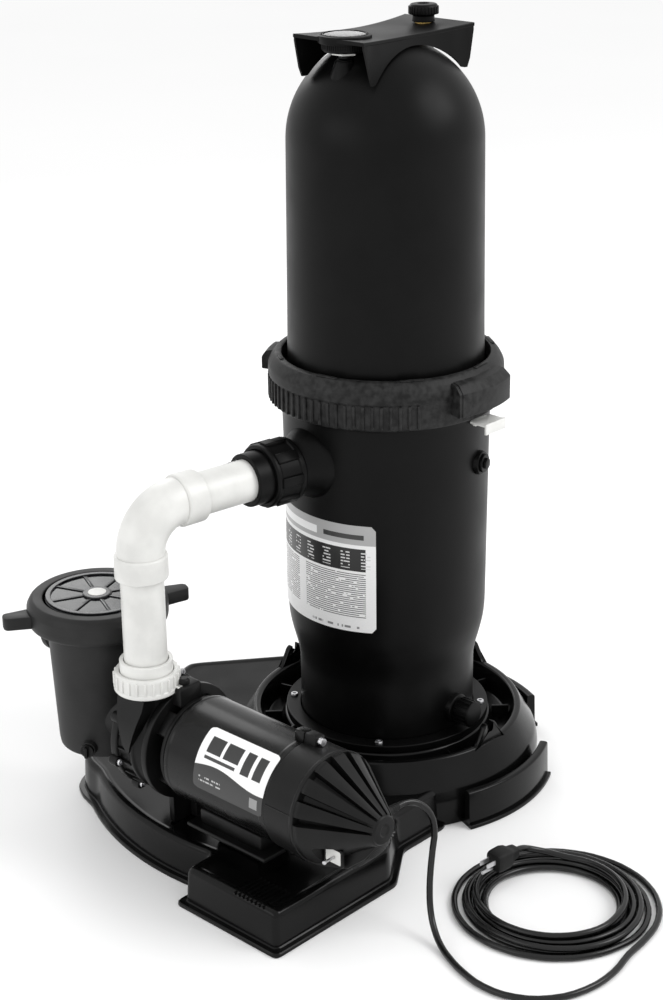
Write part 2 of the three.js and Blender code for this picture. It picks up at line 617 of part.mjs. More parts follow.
// Hand-laid route from the strain relief, down to the floor and round to the coil
const FLOOR_LINE = CORD_R + 0.3;
const leadRoute = [
  [CORD_EXIT.x, CORD_EXIT.y + GAP, CORD_EXIT.z], [CORD_EXIT.x + 0.5, CORD_EXIT.y + 11.2, CORD_EXIT.z],
  [322, -312.5, 174.5], [330, -301.5, 168.5], [341, -296.5, 156], [348.5, -298.5, 137],
  [352.5, -305, 112], [355.5, -312.5, 85], [360, -319.5, 58], [369, -328, 35], [384, -338, 18],
  [405, -349.5, 7.6], [430, -361, FLOOR_LINE], [462, -373, FLOOR_LINE], [502, -380, FLOOR_LINE], [545, -371, FLOOR_LINE],
  [581, -342, FLOOR_LINE], [602, -298, FLOOR_LINE], [606, -245, FLOOR_LINE], [597, -198, FLOOR_LINE],
];
function cordLead() {
  const curve = new THREE.CatmullRomCurve3(leadRoute.map(([x, y, z]) => new THREE.Vector3(x, y, z)));
  const section = new THREE.Shape().absarc(0, 0, CORD_R, 0, TURN);
  return new THREE.ExtrudeGeometry(section, {
    steps: 38, curveSegments: 4, extrudePath: curve, bevelEnabled: false,
  });
}
add(tank, 'cord_lead', cordLead(), rubber);
const coilRing = tube(COIL.outer - 9.7, COIL.inner, GAP, COIL.top, FINE);
add(tank, 'cord_coil', coilRing, rubber).position.set(COIL.x, COIL.y, 0);

// Three-pin plug lying on the coil
const plug = new THREE.Group();
plug.position.set(COIL.x - 87, COIL.y, COIL.top + 14.4);
plug.rotation.z = radians(266);
tank.add(plug);
const plugShell = prism([[-26, -9], [-10, -14], [18, -14], [22, -12], [22, 12], [18, 14], [-10, 14], [-26, 9]], -14, 14);
add(plug, 'plug_body', plugShell, rubber);
add(plug, 'plug_blade_1', box(17, 1.6, 6.4, 30.8, -6.3, 4), steel);
add(plug, 'plug_blade_2', box(17, 1.6, 6.4, 30.8, 6.3, 4), steel);
add(plug, 'plug_ground_pin', rod(2.4, 22 + GAP, 42, COARSE).rotateY(Math.PI / 2).translate(0, 0, -7), steel);

export default pump;
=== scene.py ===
# %% [markdown]
# # A pool pump and cartridge filter on one base
# This script dresses a imported CAD model of a pool pump, its filter tank and the moulded base that
# carries both. The CAD model gives every size and every moving part. Blender adds the rounded
# edges, the ribs, screws and labels, and the finishes. The first cell loads the CAD model.

# %% Load the frame
import json
import math

import bmesh
import bpy
from mathutils import Matrix, Vector


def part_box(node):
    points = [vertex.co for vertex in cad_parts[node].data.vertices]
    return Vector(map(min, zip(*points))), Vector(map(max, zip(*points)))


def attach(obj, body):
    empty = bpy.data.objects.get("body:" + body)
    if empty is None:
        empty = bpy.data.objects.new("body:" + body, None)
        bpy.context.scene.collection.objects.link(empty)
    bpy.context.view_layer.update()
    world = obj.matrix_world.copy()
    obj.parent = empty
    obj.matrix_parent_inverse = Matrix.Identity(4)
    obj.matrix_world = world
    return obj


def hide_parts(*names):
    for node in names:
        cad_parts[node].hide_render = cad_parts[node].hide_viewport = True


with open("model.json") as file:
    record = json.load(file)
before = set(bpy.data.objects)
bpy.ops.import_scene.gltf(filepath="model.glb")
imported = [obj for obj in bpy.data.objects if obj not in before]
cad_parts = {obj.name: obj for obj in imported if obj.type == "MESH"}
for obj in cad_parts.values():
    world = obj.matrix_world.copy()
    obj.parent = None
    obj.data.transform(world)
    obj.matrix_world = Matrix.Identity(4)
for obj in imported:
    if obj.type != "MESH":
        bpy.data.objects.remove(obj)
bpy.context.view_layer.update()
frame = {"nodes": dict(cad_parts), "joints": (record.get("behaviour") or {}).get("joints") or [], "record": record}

# %% [markdown]
# ## Where things are
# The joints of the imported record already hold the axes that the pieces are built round: the tank,
# the strainer pot, the vertical pipe and the motor shaft. They are read once here, in millimetres,
# because the mouldings are easier to think of that way. One factor turns them to metres at the end.

# %% Axes of the main pieces
MM = 0.001
# Clearance between neighbouring pieces, in millimetres
GAP = 0.3
joint_at = {
    joint["name"]: Vector(joint["pos_m"]) / MM for joint in frame["joints"] if "pos_m" in joint
}
TANK = Vector((*joint_at["lock_ring_turn"].xy, 0))
POT = Vector((*joint_at["strainer_ring_turn"].xy, 0))
RISER = Vector((*joint_at["discharge_union_turn"].xy, 0))
SHAFT = Vector((TANK.x, *joint_at["rotor_spin"].yz))
FEED_TURN = math.degrees(math.atan2(*(RISER - TANK).yx))


def top_of(name):
    """The height of a CAD node's top, in millimetres."""
    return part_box(name)[1].z / MM


def foot_of(name):
    """The height of a CAD node's underside, in millimetres."""
    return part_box(name)[0].z / MM


def corners_of(name):
    """The low and the high corner of a CAD node's box, in millimetres."""
    return [Vector(corner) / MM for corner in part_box(name)]


def turn_z(degrees):
    return Matrix.Rotation(math.radians(degrees), 4, "Z")


def place(x=0.0, y=0.0, z=0.0):
    return Matrix.Translation((x, y, z))


# Lays local Z along a level line, with local X pointing down.
LEVEL = Matrix.Rotation(math.radians(90), 4, "Y")
ON_TANK = Matrix.Translation(TANK)
ON_POT = Matrix.Translation(POT)
ON_RISER = Matrix.Translation(RISER)
ON_SHAFT = Matrix.Translation(SHAFT) @ LEVEL


def out_from(base, degrees, height):
    """A frame whose Z leaves an upright axis at an angle, at some height."""
    return base @ place(z=height) @ turn_z(degrees) @ LEVEL


print("tank, pot, riser and shaft:", TANK[:], POT[:], RISER[:], SHAFT[:])

# %% [markdown]
# ## Camera
# The camera stands in front of the pump and a little above it, far enough away that the verticals
# hardly converge. It is made first, because the cord at the end is laid out for what it sees.

# %% Camera
CAMERA_PLACE = Vector((1.894, -1.9667, 1.5408))
CAMERA_AZIMUTH = math.radians(43.409)
CAMERA_PITCH = math.radians(21.403)
CAMERA_ROLL = math.radians(-0.778)
CAMERA_LENS = 73.7
CAMERA_SHIFT = -0.0085


def aim_camera():
    """A camera that looks down at the pump, with its slight roll."""
    camera = bpy.data.objects.new("Camera", bpy.data.cameras.new("Camera"))
    bpy.context.scene.collection.objects.link(camera)
    bpy.context.scene.camera = camera
    tilt = Matrix.Rotation(math.pi / 2 - CAMERA_PITCH, 4, "X")
    roll = Matrix.Rotation(CAMERA_ROLL, 4, "Z")
    turn = Matrix.Rotation(CAMERA_AZIMUTH, 4, "Z")
    camera.matrix_world = Matrix.Translation(CAMERA_PLACE) @ turn @ tilt @ roll
    camera.data.lens = CAMERA_LENS
    camera.data.sensor_width = 36
    camera.data.shift_y = CAMERA_SHIFT
    camera.data.clip_end = 200
    return camera


camera = aim_camera()
print("camera at", camera.location[:])

# %% [markdown]
# ## Floor and light
# A product shot on white: a pale floor that reaches past the view, an even white sky, and three
# large soft lights. Their size matters more than their power, since black plastic shows hardly
# anything but the reflections of what stands round it. One high on the right draws the broad sheen
# on the domed lid, one behind on the left traces the edges, and a low one in front lifts the motor.

# %% Floor and light
def soft_light(name, place_m, target_m, size, power):
    """An area light that faces a point."""
    light = bpy.data.objects.new(name, bpy.data.lights.new(name, "AREA"))
    light.data.shape = "RECTANGLE"
    light.data.size, light.data.size_y = size
    light.data.energy = power
    light.location = place_m
    light.rotation_mode = "QUATERNION"
    light.rotation_quaternion = (Vector(target_m) - Vector(place_m)).to_track_quat("-Z", "Y")
    bpy.context.scene.collection.objects.link(light)


def studio():
    world = bpy.data.worlds.new("Studio")
    bpy.context.scene.world = world
    world.use_nodes = True
    background = world.node_tree.nodes["Background"]
    background.inputs["Color"].default_value = (1, 1, 1, 1)
    background.inputs["Strength"].default_value = 1.0
    soft_light("High right light", (2.6, 1.6, 3.0), (0, 0.1, 0.8), (1.8, 1.8), 60)
    soft_light("Back left light", (-2.4, 1.2, 2.4), (0, 0, 0.6), (1.0, 2.4), 18)
    soft_light("Front light", (-0.6, -3.2, 1.8), (0, -0.2, 0.4), (2.6, 1.2), 14)
    bpy.context.scene.view_settings.view_transform = "Standard"


studio()

# %% [markdown]
# ## Shaping tools
# Most of these mouldings are turned, raised or swept shapes. All of them are one thing, a stack of
# rings joined by faces, so a single `loft` makes them. A shape is a list of points and a list of
# faces in millimetres, which can be moved and merged before it becomes an object. Moulded plastic
# has no sharp edge, so outlines go through `rounded` first, which puts a small curve at each corner.

# %% Outlines
def rounded(points, radius, closed=False, steps=4):
    """An outline whose corners are replaced by small curves."""
    count = len(points)
    result = []
    for i, point in enumerate(points):
        if not closed and i in (0, count - 1):
            result.append(tuple(point))
            continue
        here = Vector(point)
        before = Vector(points[i - 1]) - here
        after = Vector(points[(i + 1) % count]) - here
        start = here + before.normalized() * min(radius, before.length * 0.45)
        end = here + after.normalized() * min(radius, after.length * 0.45)
        for step in range(steps + 1):
            t = step / steps
            result.append(tuple(start * (1 - t) ** 2 + here * 2 * t * (1 - t) + end * t ** 2))
    return result


def inset(outline, distance):
    """A closed outline moved inwards, corner by corner."""
    count = len(outline)
    area = sum(
        outline[i - 1][0] * outline[i][1] - outline[i][0] * outline[i - 1][1] for i in range(count)
    )
    side = 1 if area > 0 else -1
    result = []
    for i, point in enumerate(outline):
        here = Vector(point)
        before = (here - Vector(outline[i - 1])).normalized()
        after = (Vector(outline[(i + 1) % count]) - here).normalized()
        normal = Vector((-before.y - after.y, before.x + after.x)) * side
        result.append(tuple(here + normal * distance / (1 + before.dot(after))))
    return result


def circle(radius, steps):
    turn = 2 * math.pi / steps
    return [(radius * math.cos(i * turn), radius * math.sin(i * turn)) for i in range(steps)]


def rectangle(width, depth):
    w, d = width / 2, depth / 2
    return [(-w, -d), (w, -d), (w, d), (-w, d)]


def arc(radius, start, end, steps):
    angles = [math.radians(start + (end - start) * i / steps) for i in range(steps + 1)]
    return [(radius * math.cos(a), radius * math.sin(a)) for a in angles]


# %% Shapes
def loft(rings, loop=False):
    """Rings of points joined by faces. A closed loop has no ends."""
    count = len(rings[0])
    points = [Vector(p) for ring in rings for p in ring]
    faces = []
    for k in range(len(rings) if loop else len(rings) - 1):
        low, high = k * count, (k + 1) % len(rings) * count
        for i in range(count):
            j = (i + 1) % count
            faces.append((low + i, low + j, high + j, high + i))
    if not loop:
        faces.append(tuple(range(count))[::-1])
        faces.append(tuple(range((len(rings) - 1) * count, len(rings) * count)))
    return points, faces


def turned(profile, steps=96):
    """A profile of (radius, height) turned about Z. It starts and ends on the axis, or it closes."""
    rings = [[(x, y, z) for x, y in circle(max(r, 0.001), steps)] for r, z in profile]
    on_axis = profile[0][0] == 0 and profile[-1][0] == 0
    return loft(rings, loop=not on_axis)


def raised(outline, z0, z1, edge=1.0, corner=0.0):
    """An outline raised from one height to another, with softened edges and corners."""
    levels = [(z0, edge), (z0 + 0.3 * edge, 0.3 * edge), (z0 + edge, 0)]
    levels += [(z1 - edge, 0), (z1 - 0.3 * edge, 0.3 * edge), (z1, edge)]
    rings = []
    for z, depth in levels:
        ring = inset(outline, depth)
        if corner:
            ring = rounded(ring, corner, closed=True)
        rings.append([(x, y, z) for x, y in ring])
    return loft(rings)


def block(width, depth, height, edge=1.0, corner=2.0):
    """A moulded block on the plane z = 0, centred on the axis."""
    return raised(rectangle(width, depth), 0, height, edge, corner)


def swept_arc(section, start, end, steps):
    """A closed section of (radius, height) swept about Z between two angles."""
    rings = []
    for i in range(steps + 1):
        angle = math.radians(start + (end - start) * i / steps)
        rings.append([(r * math.cos(angle), r * math.sin(angle), z) for r, z in section])
    return loft(rings)


def moved(shape, matrix):
    points, faces = shape
    return [matrix @ p for p in points], faces


def merged(*shapes):
    points, faces = [], []
    for more_points, more_faces in shapes:
        faces += [tuple(i + len(points) for i in face) for face in more_faces]
        points += more_points
    return points, faces


# %% [markdown]
# ## From shape to piece
# `piece` turns a shape into an object in metres. It welds doubled points, turns each closed body's
# faces outwards, and marks edges over 35 degrees as sharp, so that smooth shading stays off them.
# Then it gives the piece its material, hangs it under the empty of the CAD body it rides on, and
# hides the CAD nodes it stands for.

# %% Pieces
SHARP = math.radians(35)


def welded(mesh):
    """Merges doubled points and turns the faces of closed bodies outwards."""
    work = bmesh.new()
    work.from_mesh(mesh)
    bmesh.ops.remove_doubles(work, verts=work.verts, dist=0.00002)
    bmesh.ops.dissolve_degenerate(work, edges=work.edges, dist=0.00001)
    bmesh.ops.recalc_face_normals(work, faces=work.faces)
    work.to_mesh(mesh)
    work.free()
    mesh.shade_smooth()
    mesh.set_sharp_from_angle(angle=SHARP)


def mesh_object(name, shape):
    points, faces = shape
    mesh = bpy.data.meshes.new(name)
    mesh.from_pydata([p * MM for p in points], [], faces)
    obj = bpy.data.objects.new(name, mesh)
    bpy.context.scene.collection.objects.link(obj)
    return obj


def carved(shape, tool):
    """The shape with the tool cut out of it, both as points and faces."""
    body, cutter = mesh_object("carving", shape), mesh_object("cutter", tool)
    cut = body.modifiers.new("cut", "BOOLEAN")
    cut.operation, cut.solver, cut.use_self, cut.object = "DIFFERENCE", "EXACT", True, cutter
    mesh = bpy.data.meshes.new_from_object(body.evaluated_get(bpy.context.evaluated_depsgraph_get()))
    result = [v.co / MM for v in mesh.vertices], [tuple(p.vertices) for p in mesh.polygons]
    for spare in (body, cutter):
        bpy.data.objects.remove(spare)
    return result


def dress(obj, body, material, stands_for=()):
    """Gives a finished object its material and its place in the frame."""
    obj.data.materials.clear()
    obj.data.materials.append(material)
    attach(obj, body)
    if stands_for:
        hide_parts(*stands_for)
    print(obj.name, len(obj.data.polygons), "faces, rides on", body)
    return obj


def piece(name, shape, body, material, stands_for=()):
    obj = mesh_object(name, shape)
    welded(obj.data)
    return dress(obj, body, material, stands_for)


# %% [markdown]
# ## Repeats in Geometry Nodes
# Ribs, screws and fins repeat at even steps round an axis, or along a line. One node tree does
# both: it makes a row of points, moves each along by a step and turns it by an angle, puts a copy
# of a small moulding on every point, and realises the copies so that they export. Its inputs are
# named after what a maker would ask: how many, how far out, the first angle and the step.

# %% Repeat tree
def add_node(tree, kind, inputs=None, **settings):
    """Adds a node, sets its properties, and sets or links its inputs."""
    made = tree.nodes.new(kind)
    for key, value in settings.items():
        setattr(made, key, value)
    for key, value in (inputs or {}).items():
        if isinstance(value, bpy.types.NodeSocket):
            tree.links.new(value, made.inputs[key])
        else:
            made.inputs[key].default_value = value
    return made


def node_out(tree, kind, inputs=None, **settings):
    """Adds a node and gives its first output."""
    return add_node(tree, kind, inputs, **settings).outputs[0]


def math_node(tree, operation, *values):
    """The result of a Math node on its values."""
    return node_out(tree, "ShaderNodeMath", dict(enumerate(values)), operation=operation)


def repeat_tree():
    tree = bpy.data.node_groups.new("Repeat round an axis", "GeometryNodeTree")
    sockets = {
        "Moulding": "NodeSocketObject", "Count": "NodeSocketInt", "Radius": "NodeSocketFloat",
        "First angle": "NodeSocketFloat", "Angle step": "NodeSocketFloat", "Step": "NodeSocketVector",
        "Finish": "NodeSocketMaterial",
    }
    for name, kind in sockets.items():
        tree.interface.new_socket(name=name, in_out="INPUT", socket_type=kind)
    tree.interface.new_socket(name="Mesh", in_out="OUTPUT", socket_type="NodeSocketGeometry")
    given = add_node(tree, "NodeGroupInput").outputs
    index = node_out(tree, "GeometryNodeInputIndex")
    angle = math_node(tree, "MULTIPLY_ADD", index, given["Angle step"], given["First angle"])
    cosine, sine = math_node(tree, "COSINE", angle), math_node(tree, "SINE", angle)
    ray = node_out(tree, "ShaderNodeCombineXYZ", {"X": cosine, "Y": sine})
    reach = node_out(
        tree, "ShaderNodeVectorMath", {0: ray, "Scale": given["Radius"]}, operation="SCALE"
    )
    along = node_out(
        tree, "ShaderNodeVectorMath", {0: given["Step"], "Scale": index}, operation="SCALE"
    )
    spot = node_out(tree, "ShaderNodeVectorMath", {0: reach, 1: along}, operation="ADD")
    row = node_out(tree, "GeometryNodeMeshLine", {"Count": given["Count"]})
    spread = node_out(tree, "GeometryNodeSetPosition", {"Geometry": row, "Position": spot})
    turn = node_out(tree, "ShaderNodeCombineXYZ", {"Z": angle})
    source = add_node(tree, "GeometryNodeObjectInfo", {"Object": given["Moulding"]}).outputs["Geometry"]
    copies = node_out(
        tree, "GeometryNodeInstanceOnPoints", {"Points": spread, "Instance": source, "Rotation": turn}
    )
    real = node_out(tree, "GeometryNodeRealizeInstances", {"Geometry": copies})
    done = node_out(tree, "GeometryNodeSetMaterial", {"Geometry": real, "Material": given["Finish"]})
    add_node(tree, "NodeGroupOutput", {"Mesh": done})
    return tree


REPEAT = repeat_tree()


def repeated(name, moulding, frame_matrix, body, material, count=1, radius=0.0,
             first=0.0, angle_step=0.0, step=(0, 0, 0)):
    """Copies of a small moulding round a local Z, laid in place and made one plain mesh."""
    source = mesh_object("source of " + name, moulding)
    welded(source.data)
    obj = bpy.data.objects.new(name, bpy.data.meshes.new(name))
    bpy.context.scene.collection.objects.link(obj)
    modifier = obj.modifiers.new("Repeat", "NODES")
    modifier.node_group = REPEAT
    values = {
        "Moulding": source, "Count": count, "Radius": radius * MM, "First angle": math.radians(first),
        "Angle step": math.radians(angle_step), "Step": [v * MM for v in step], "Finish": material,
    }
    for socket in REPEAT.interface.items_tree:
        if socket.in_out == "INPUT":
            modifier[socket.identifier] = values[socket.name]
    graph = bpy.context.evaluated_depsgraph_get()
    mesh = bpy.data.meshes.new_from_object(obj.evaluated_get(graph))
    obj.modifiers.clear()
    obj.data = mesh
    in_metres = Matrix.Scale(MM, 4) @ frame_matrix @ Matrix.Scale(1 / MM, 4)
    mesh.transform(in_metres)
    bpy.data.objects.remove(source)
    mesh.shade_smooth()
    mesh.set_sharp_from_angle(angle=SHARP)
    dress(obj, body, material, ())

# %% [markdown]
# ## Finishes
# Nearly everything here is black, so the finishes differ by gloss and texture rather than colour.
# Each material below starts from what the real one is. Colours are written as sRGB hex, the way a
# colour picker shows them, and one function turns them to the linear values that Blender computes
# with. Patterns are given by their real size in millimetres.

# %% Colour and pattern tools
def linear(hex_colour):
    """sRGB hex to linear RGBA."""
    values = [int(hex_colour[i:i + 2], 16) / 255 for i in (1, 3, 5)]
    return (*(v / 12.92 if v <= 0.04045 else ((v + 0.055) / 1.055) ** 2.4 for v in values), 1)


def per_mm(size):
    """The scale that gives a noise or Voronoi pattern features of a size in millimetres."""
    return 1 / (size * MM)


def new_material(name):
    material = bpy.data.materials.new(name)
    material.use_nodes = True
    tree = material.node_tree
    return material, tree, tree.nodes["Principled BSDF"]


def moulded(name, dark, light, roughness, grain_mm, grain_depth, cloud_mm=70, specular=0.5):
    """A moulded plastic: clouded colour, roughness that wanders and a fine grain.

    `roughness` is its lowest and highest value, and `grain_depth` is in millimetres."""
    material, tree, surface = new_material(name)
    where = add_node(tree, "ShaderNodeTexCoord").outputs["Object"]
    cloud = node_out(
        tree, "ShaderNodeTexNoise", {"Vector": where, "Scale": per_mm(cloud_mm), "Detail": 4.0}
    )
    grain = node_out(
        tree, "ShaderNodeTexNoise", {"Vector": where, "Scale": per_mm(grain_mm), "Detail": 3.0}
    )
    ramp = add_node(tree, "ShaderNodeValToRGB", {"Fac": cloud})
    ramp.color_ramp.elements[0].position = 0.35
    ramp.color_ramp.elements[1].position = 0.65
    ramp.color_ramp.elements[0].color = linear(dark)
    ramp.color_ramp.elements[1].color = linear(light)
    gloss = node_out(
        tree, "ShaderNodeMapRange", {"Value": cloud, "From Min": 0.3, "From Max": 0.7,
                                     "To Min": roughness[0], "To Max": roughness[1]}
    )
    bump = node_out(
        tree, "ShaderNodeBump", {"Height": grain, "Strength": 1.0, "Distance": grain_depth * MM}
    )
    tree.links.new(ramp.outputs["Color"], surface.inputs["Base Color"])
    tree.links.new(gloss, surface.inputs["Roughness"])
    tree.links.new(bump, surface.inputs["Normal"])
    surface.inputs["Specular IOR Level"].default_value = specular
    return material


# %% [markdown]
# Glass-filled polypropylene and ABS make the tank, the pump and the base. A mould with a light
# texture leaves the tank satin, while the base came out of a polished mould and is nearly a mirror.
# The strainer pot has gone a little dusty. The lock ring holds much more glass fibre, which shows as
# a mottled dark grey.

# %% Black and grey plastics
satin_black = moulded(
    "Satin moulded ABS, black", "#060606", "#0a0a0a", (0.34, 0.44), 2.2, 0.02, specular=0.12
)
pump_black = moulded(
    "Glass-filled polypropylene, black", "#080808", "#121212", (0.34, 0.46), 1.6, 0.05, specular=0.2
)
pot_black = moulded(
    "Glass-filled polypropylene, dusty", "#161616", "#242424", (0.42, 0.55), 1.8, 0.08, 60, 0.25
)
gloss_black = moulded(
    "Polished moulded ABS, black", "#060606", "#0a0a0a", (0.14, 0.26), 9.0, 0.03, specular=0.17
)
ring_grey = moulded(
    "Glass-filled nylon, mottled grey", "#101010", "#2a2a2a", (0.42, 0.6), 1.8, 0.12, 9, 0.2
)

# %% [markdown]
# PVC pipe and fittings are extruded or moulded white, with a soft gloss and a faint warm cast, and
# the cartridge ends are cast blue polyurethane.

# %% White and blue plastics
white_pvc = moulded("Rigid PVC, white", "#d2d2cf", "#dededb", (0.28, 0.4), 3.0, 0.02, 40)
cap_blue = moulded("Cast polyurethane, blue", "#21508c", "#2b609e", (0.5, 0.62), 3.0, 0.05)

# %% [markdown]
# The motor shell is drawn steel under sprayed black enamel, whose slight orange peel ripples the
# highlight along its top. Rubber and cord jacket are matt to semi-gloss, with a light bloom.

# %% Enamel and rubber
motor_enamel = moulded(
    "Sprayed enamel on steel, black", "#060606", "#0b0b0b", (0.2, 0.3), 3.5, 0.03, 50, 0.25
)
rubber = moulded("Moulded rubber, black", "#0a0a0a", "#141414", (0.5, 0.65), 1.5, 0.05, 30, 0.25)
cord_jacket = moulded(
    "Flexible PVC cord jacket, black", "#040404", "#080808", (0.2, 0.3), 4.0, 0.03, 25, 0.4
)


# %% [markdown]
# Metals keep the default index of refraction. Turning and rolling leave fine lines, drawn here by
# a noise stretched along one direction, which scatters the highlight across them.

# %% Metals
def lined_metal(name, colour, roughness, line_mm=1.2, stretch=14):
    material, tree, surface = new_material(name)
    where = add_node(tree, "ShaderNodeTexCoord").outputs["Object"]
    drawn = node_out(tree, "ShaderNodeMapping", {"Vector": where, "Scale": (1, 1, 1 / stretch)})
    lines = node_out(
        tree, "ShaderNodeTexNoise", {"Vector": drawn, "Scale": per_mm(line_mm), "Detail": 2.0}
    )
    gloss = node_out(
        tree, "ShaderNodeMapRange",
        {"Value": lines, "To Min": roughness - 0.1, "To Max": roughness + 0.12}
    )
    bump = node_out(tree, "ShaderNodeBump", {"Height": lines, "Strength": 0.5, "Distance": 0.04 * MM})
    tree.links.new(gloss, surface.inputs["Roughness"])
    tree.links.new(bump, surface.inputs["Normal"])
    surface.inputs["Base Color"].default_value = linear(colour)
    surface.inputs["Metallic"].default_value = 1.0
    return material


plated_steel = lined_metal("Zinc-plated steel", "#c9c9cb", 0.3)
turned_brass = lined_metal("Turned brass", "#c2a564", 0.32)
laminated_iron = lined_metal("Laminated electrical steel", "#6d6a66", 0.5, 0.5, 1)
copper_winding = lined_metal("Lacquered copper winding", "#b8703f", 0.35, 0.8)


# %% [markdown]
# The strainer's lid and the gauge's lens are clear polycarbonate. The lid is tinted smoke grey so
# the basket shows only faintly through it. The filter cartridge is spun polyester, a felted white
# cloth with a fibre pattern too fine to see, so it is drawn at two millimetres.

# %% Clear plastic and filter cloth
def clear_plastic(name, colour, roughness, tint, specular=0.5):
    material, tree, surface = new_material(name)
    where = add_node(tree, "ShaderNodeTexCoord").outputs["Object"]
    haze = node_out(tree, "ShaderNodeTexNoise", {"Vector": where, "Scale": per_mm(12)})
    gloss = node_out(
        tree, "ShaderNodeMapRange",
        {"Value": haze, "To Min": roughness * 0.6, "To Max": roughness * 1.5}
    )
    tree.links.new(gloss, surface.inputs["Roughness"])
    surface.inputs["Base Color"].default_value = linear(colour)
    surface.inputs["IOR"].default_value = 1.58
    surface.inputs["Transmission Weight"].default_value = tint
    surface.inputs["Specular IOR Level"].default_value = specular
    return material


def filter_cloth(name):
    material, tree, surface = new_material(name)
    where = add_node(tree, "ShaderNodeTexCoord").outputs["Object"]
    fibre = node_out(tree, "ShaderNodeTexNoise", {"Vector": where, "Scale": per_mm(2), "Detail": 6.0})
    bump = node_out(tree, "ShaderNodeBump", {"Height": fibre, "Distance": 0.3 * MM})
    shade = add_node(tree, "ShaderNodeValToRGB", {"Fac": fibre})
    shade.color_ramp.elements[0].color = linear("#d9d6cc")
    shade.color_ramp.elements[1].color = linear("#f4f2ea")
    tree.links.new(shade.outputs["Color"], surface.inputs["Base Color"])
    tree.links.new(bump, surface.inputs["Normal"])
    surface.inputs["Roughness"].default_value = 0.95
    surface.inputs["Sheen Weight"].default_value = 0.3
    return material


smoky_lid = clear_plastic("Smoke-tinted polycarbonate", "#17191b", 0.16, 0.35, 0.16)
gauge_glass = clear_plastic("Clear polycarbonate", "#f2f2f2", 0.05, 0.9)
pleated_cloth = filter_cloth("Spun polyester pleats")

# %% [markdown]
# CAD nodes whose shape is already right stay in view and only get a better finish. They are listed
# here by the record's slot, so no CAD part is left with a plain colour.

# %% Finishes for the CAD nodes that stay
slot_finish = {
    "satin_black": satin_black, "gloss_black": gloss_black, "ribbed_grey": ring_grey,
    "white_pvc": white_pvc, "motor_paint": motor_enamel, "rubber": rubber, "steel": plated_steel,
    "brass": turned_brass, "cast_iron": laminated_iron, "smoky_clear": smoky_lid,
    "pleat_white": pleated_cloth, "blue_cap": cap_blue, "copper": copper_winding,
}
for subpart in frame["record"]["subparts"]:
    node = frame["nodes"][subpart["node"]]
    node.data.materials.clear()
    node.data.materials.append(slot_finish[subpart["material_slot"]])
print(len(frame["nodes"]), "CAD nodes have a procedural finish")

# %% [markdown]
# ## Moulded base
# The base is one hollow moulding: a flat deck with a wall and a floor lip round it, a round skirt
# that carries the tank in an open trench, two outriggers, and four notched ears. Each is built as
# its own closed shell, because they meet at clean lines on the real one too. The outlines could be
# extruded and bevelled, but lofting the deck from inset copies of one outline gives the wall its
# draft, its rolled rim and its hollow underside in one go.

# %% Deck
DECK_TOP = 57
DECK_OUTLINE = [
    (150, -40), (210.5, -110), (210.5, -201), (261, -273), (261, -510), (67, -508.5), (66, -462.3),
    *arc(467, -83, -118, 12), (-250, -404), (-275, -391), (-291, -370),
    (-386, -80), (-388, -62), (-378, -44), (-212, 167), (-180, 150),
]


def deck():
    """The deck as a hollow shell, from under its top, out round the lip and back over the rim."""
    levels = [
        (50, 17), (0, 12), (0, 0.8), (0.8, 0), (5, 0), (6.5, 1.2), (7, 7.5), (8.5, 9), (50, 11),
        (55, 12.5), (58, 15.5), (59.4, 19), (59.2, 23), (57.6, 26), (DECK_TOP, 28.5),
    ]
    rings = []
    for z, depth in levels:
        ring = rounded(inset(DECK_OUTLINE, depth), 9, closed=True, steps=3)
        rings.append([(x, y, z) for x, y in ring])
    return loft(rings)


# %% Skirt, outriggers and ears
SKIRT_R = 231
SEAT_Z = 85.7


def skirt():
    inner = [(60, 0), (60, 50), (225, 50), (225, 0)]
    outer = [
        (SKIRT_R, 0), (SKIRT_R, 40), (227, 57), (206, 92), (203, 97), (194, 97), (186, 62), (162, 62),
        (157, SEAT_Z),
    ]
    return turned([(0, 0), *rounded([*inner, *outer, (0, SEAT_Z)], 4, steps=5)], 128)


def outrigger(middle):
    """A curved foot that stands outside the skirt, with a lip on the floor."""
    block_section = rounded([(238, 2), (252, 2), (250.5, DECK_TOP), (238, DECK_TOP)], 4, True)
    lip_section = rounded([(212, 0), (257, 0), (257, 6), (212, 6)], 1.5, True)
    span = 23.5
    return merged(
        swept_arc(block_section, middle - span, middle + span, 28),
        swept_arc(lip_section, middle - span, middle + span, 28),
    )


def ear(degrees):
    """An upright plate with a notched top, set across a radius."""
    outline = [
        (-40, 86), (-26, 100), (-13, 123), (-6.5, 127), (-5.5, 113), (5.5, 113), (6.5, 127), (13, 123),
        (26, 100), (40, 86),
    ]
    plate = raised(rounded(outline, 2.5, True), 0, 9, 1.2)
    upright_plate = Matrix(((0, 0, 1, 0), (1, 0, 0, 0), (0, 1, 0, 0), (0, 0, 0, 1)))
    return moved(plate, turn_z(degrees) @ place(194) @ upright_plate)


def trench_ribs():
    """Low webs in the trench between the skirt and the tank's seat."""
    return [
        moved(block(26, 4, 20, 1, 1), turn_z(angle) @ place(174, 0, 61)) for angle in range(15, 360, 30)
    ]


base_shape = merged(
    deck(), skirt(), outrigger(3.5), outrigger(86.5), *(ear(angle) for angle in (0, 90, 180, 270)),
    *trench_ribs(),
)
piece(
    "base_moulding", moved(base_shape, ON_TANK), "root", gloss_black,
    stands_for=["base_platform"],
)

# %% [markdown]
# The block in front of the motor has a panel of short raised ribs in its top. They repeat in a
# straight row, so the repeat tree makes them with a step and no angle.

